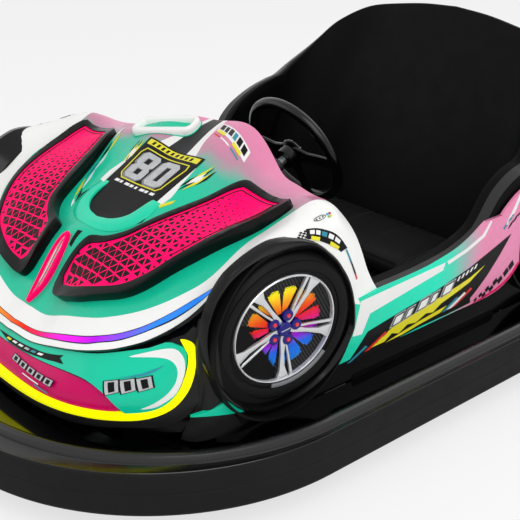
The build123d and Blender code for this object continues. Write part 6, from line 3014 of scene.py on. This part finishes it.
# ---- controls -----------------------------------------------------------------------
@dataclass
class SteeringWheel:
    """Thick glossy wheel: grooved rim, three spokes, a dished boss and its screws."""

    hub: tuple[float, float, float] = (0, .022, .547)
    tilt: float = math.radians(24)
    rim: float = 0.141
    tube: float = 0.0138

    def build(self) -> None:
        """Makes the wheel's pieces."""
        self.axis = np.array((0, math.cos(self.tilt), math.sin(self.tilt)))
        self.down = np.array((0, math.sin(self.tilt), -math.cos(self.tilt)))
        self.face = Flat(self.hub, (-1, 0, 0), self.down * -1)
        self.rim_ring()
        self.spokes()
        self.boss()

    def rim_ring(self) -> None:
        """The rim, with a flattened back and a finger groove inside."""
        rows = []
        for k in range(96):
            turn = 2 * math.pi * k / 96
            out = np.array((1, 0, 0)) * math.cos(turn) + self.down * math.sin(turn)
            grip = 1 + .05 * math.cos(12 * turn) * (abs(math.sin(turn)) < .72)
            ring = []
            for j in range(20):
                a = 2 * math.pi * j / 20
                r = self.tube * (1 - .07 * max(0.0, math.cos(a + math.pi)) ** 4)
                r *= grip if math.cos(a) < .2 else 1.0
                ring.append(np.array(self.hub) + out * (self.rim + r * math.cos(a))
                            + self.axis * r * math.sin(a))
            rows.append(np.array(ring))
        piece = lofted("steering_rim", rows, loop=True, ring=True, crease=60)
        fit(dress(piece, "wheel_gloss"), "moulded_black", ["steering_wheel"], "steering")

    def spokes(self) -> None:
        """Three broad spokes that dip towards the boss."""
        reach = self.rim - self.tube + .004

        def dip(plan: np.ndarray) -> np.ndarray:
            """Height of a spoke's face: lowest at the boss."""
            return -.002 - .011 * (1 - np.clip(np.linalg.norm(plan, axis=1) / reach, 0, 1)) ** 1.5

        made = []
        for k, turn in enumerate((0.0, 180.0, 270.0)):
            way = np.array((math.cos(math.radians(turn)), math.sin(math.radians(turn))))
            side = np.array((-way[1], way[0]))
            foot, top = (.026, .0145) if k < 2 else (.022, .0125)
            blade = [way * .018 - side * foot, way * .06 - side * top, way * reach - side * (top + .002),
                     way * reach + side * (top + .002), way * .06 + side * top, way * .018 + side * foot]
            made.append(panel(f"steering_spoke_{k}", self.face, blade, .0085, dip, .010, edge=.0022))
        fit(dress(one_piece("steering_spokes", made), "wheel_gloss"), "moulded_black", body="steering")

    def boss(self) -> None:
        """The boss, its rear neck, its cap and six small screws."""
        form = ((0, .0065), (.016, .0062), (.0225, .0050), (.0245, .0028), (.0250, 0),
                (.0300, -.0015), (.0345, -.0035), (.0360, -.0070), (.0350, -.0120),
                (.0270, -.0180), (.0265, -.0410), (0, -.0410))
        boss = turned("steering_boss", form, self.hub, self.axis, 48, 30)
        fit(dress(boss, "wheel_gloss"), "moulded_black", body="steering")
        dome = ((0, .0078), (.009, .0076), (.0135, .0068), (.0145, .0058), (0, .0050))
        cap = turned("steering_cap", dome, self.hub, self.axis, 40, 30)
        fit(dress(cap, "moulded_black"), "moulded_black", body="steering")
        plan = disc((0, 0), .0292, 6, math.radians(30))
        places = self.face.lifted(plan, .0) - self.axis * .0016
        screw = Stud(6, .0026, .0020, .0022)
        screws = screw.on("steering_screws", places, np.tile(self.axis, (6, 1)), "axle_steel")
        fit(screws, "axle_steel", body="steering")


@dataclass
class MatStuds:
    """Studs of the two floor mats."""

    def build(self) -> None:
        """Stands the studs in staggered rows."""
        places = []
        for side in (-1, 1):
            for x in np.arange(-.150, .1501, .012):
                for y in np.arange(-.125, .049, .012):
                    shift = .006 if round((y + .125) / .012) % 2 else 0
                    places.append((side * .225 + x + shift - .003, y, .1370))
        facing = np.tile((0, 0, 1), (len(places), 1))
        studs = Stud(6, .0040, .0028, .0022).on("mat_studs", np.array(places), facing, "moulded_black")
        fit(studs, "sheet_steel")


@dataclass
class Dash:
    """Dark dash that hangs under the cowl's rear edge and leans back to the riders' feet."""

    drop: float = 0.170

    def build(self) -> None:
        """Makes the dash as one thick curved sheet."""
        line = curve_through(COWL_EDGE, 3)[::-1]
        line = line[line[:, 0] < .398]
        edge = np.vstack([flipped(line[::-1])[:-1], line])
        rows = []
        for ahead, down in ((-.030, .012), (-.004, .011), (-.002, .018), (.016, self.drop), (.008, self.drop),
                            (-.010, .024), (-.030, .020)):
            places = UPPER.at(edge + (0, ahead))
            places[:, 2] -= down
            rows.append(places)
        rows = [np.array(places) for places in zip(*rows)]
        piece = lofted("dash_sheet", rows, loop=True, crease=30)
        fit(dress(piece, "tub_black"), "moulded_black", ["dash_panel"])


ASSEMBLIES = (FrontBody, Bumper, LowerBody, Fascia, Fin, FrontArch, RearArch, DummyWheels, SeatTub, BenchPad,
              TailLamps, BonnetLamps, NoseLamp, BonnetGraphics, Tray, FenderGraphics, SillGraphics,
              SteeringWheel, Dash, MatStuds)


# ---- assembly -----------------------------------------------------------------------
# the finish of each part that keeps its own shape
NODE_FINISHES = {
    "chassis_frame": "frame_steel", "bumper_hoop": "frame_steel", "floor_pan": "sheet_steel",
    "battery_box": "battery_case", "drive_bridge": "frame_steel", "drive_fork": "drive_iron",
    "drive_motor": "drive_iron", "drive_hub": "hub_grey", "drive_tyre": "tyre_rubber",
    "rear_left_hub": "hub_grey", "rear_left_tyre": "tyre_rubber", "rear_right_hub": "hub_grey",
    "rear_right_tyre": "tyre_rubber", "rear_axle": "axle_steel", "steering_shaft": "axle_steel",
    "steering_column": "frame_steel", "steering_gear": "drive_iron", "drive_pedal": "hub_grey",
    "seat_base": "moulded_black", "belt_clip": "moulded_black",
    "arch_liners": "moulded_black",
}


def dress_frame() -> None:
    """Gives every part that keeps its own shape its finish."""
    for name, finish in NODE_FINISHES.items():
        dress(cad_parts[name], finish)


def main() -> None:
    """Builds the car, part by part."""
    logging.basicConfig(level=logging.INFO, format="%(name)s %(message)s")
    bpy.context.scene.view_settings.view_transform = "Standard"
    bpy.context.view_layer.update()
    Stage().build()
    for assembly in ASSEMBLIES:
        LOG.info("building %s", assembly.__name__)
        assembly().build()
    dress_frame()


if __name__ == "__main__":
    main()
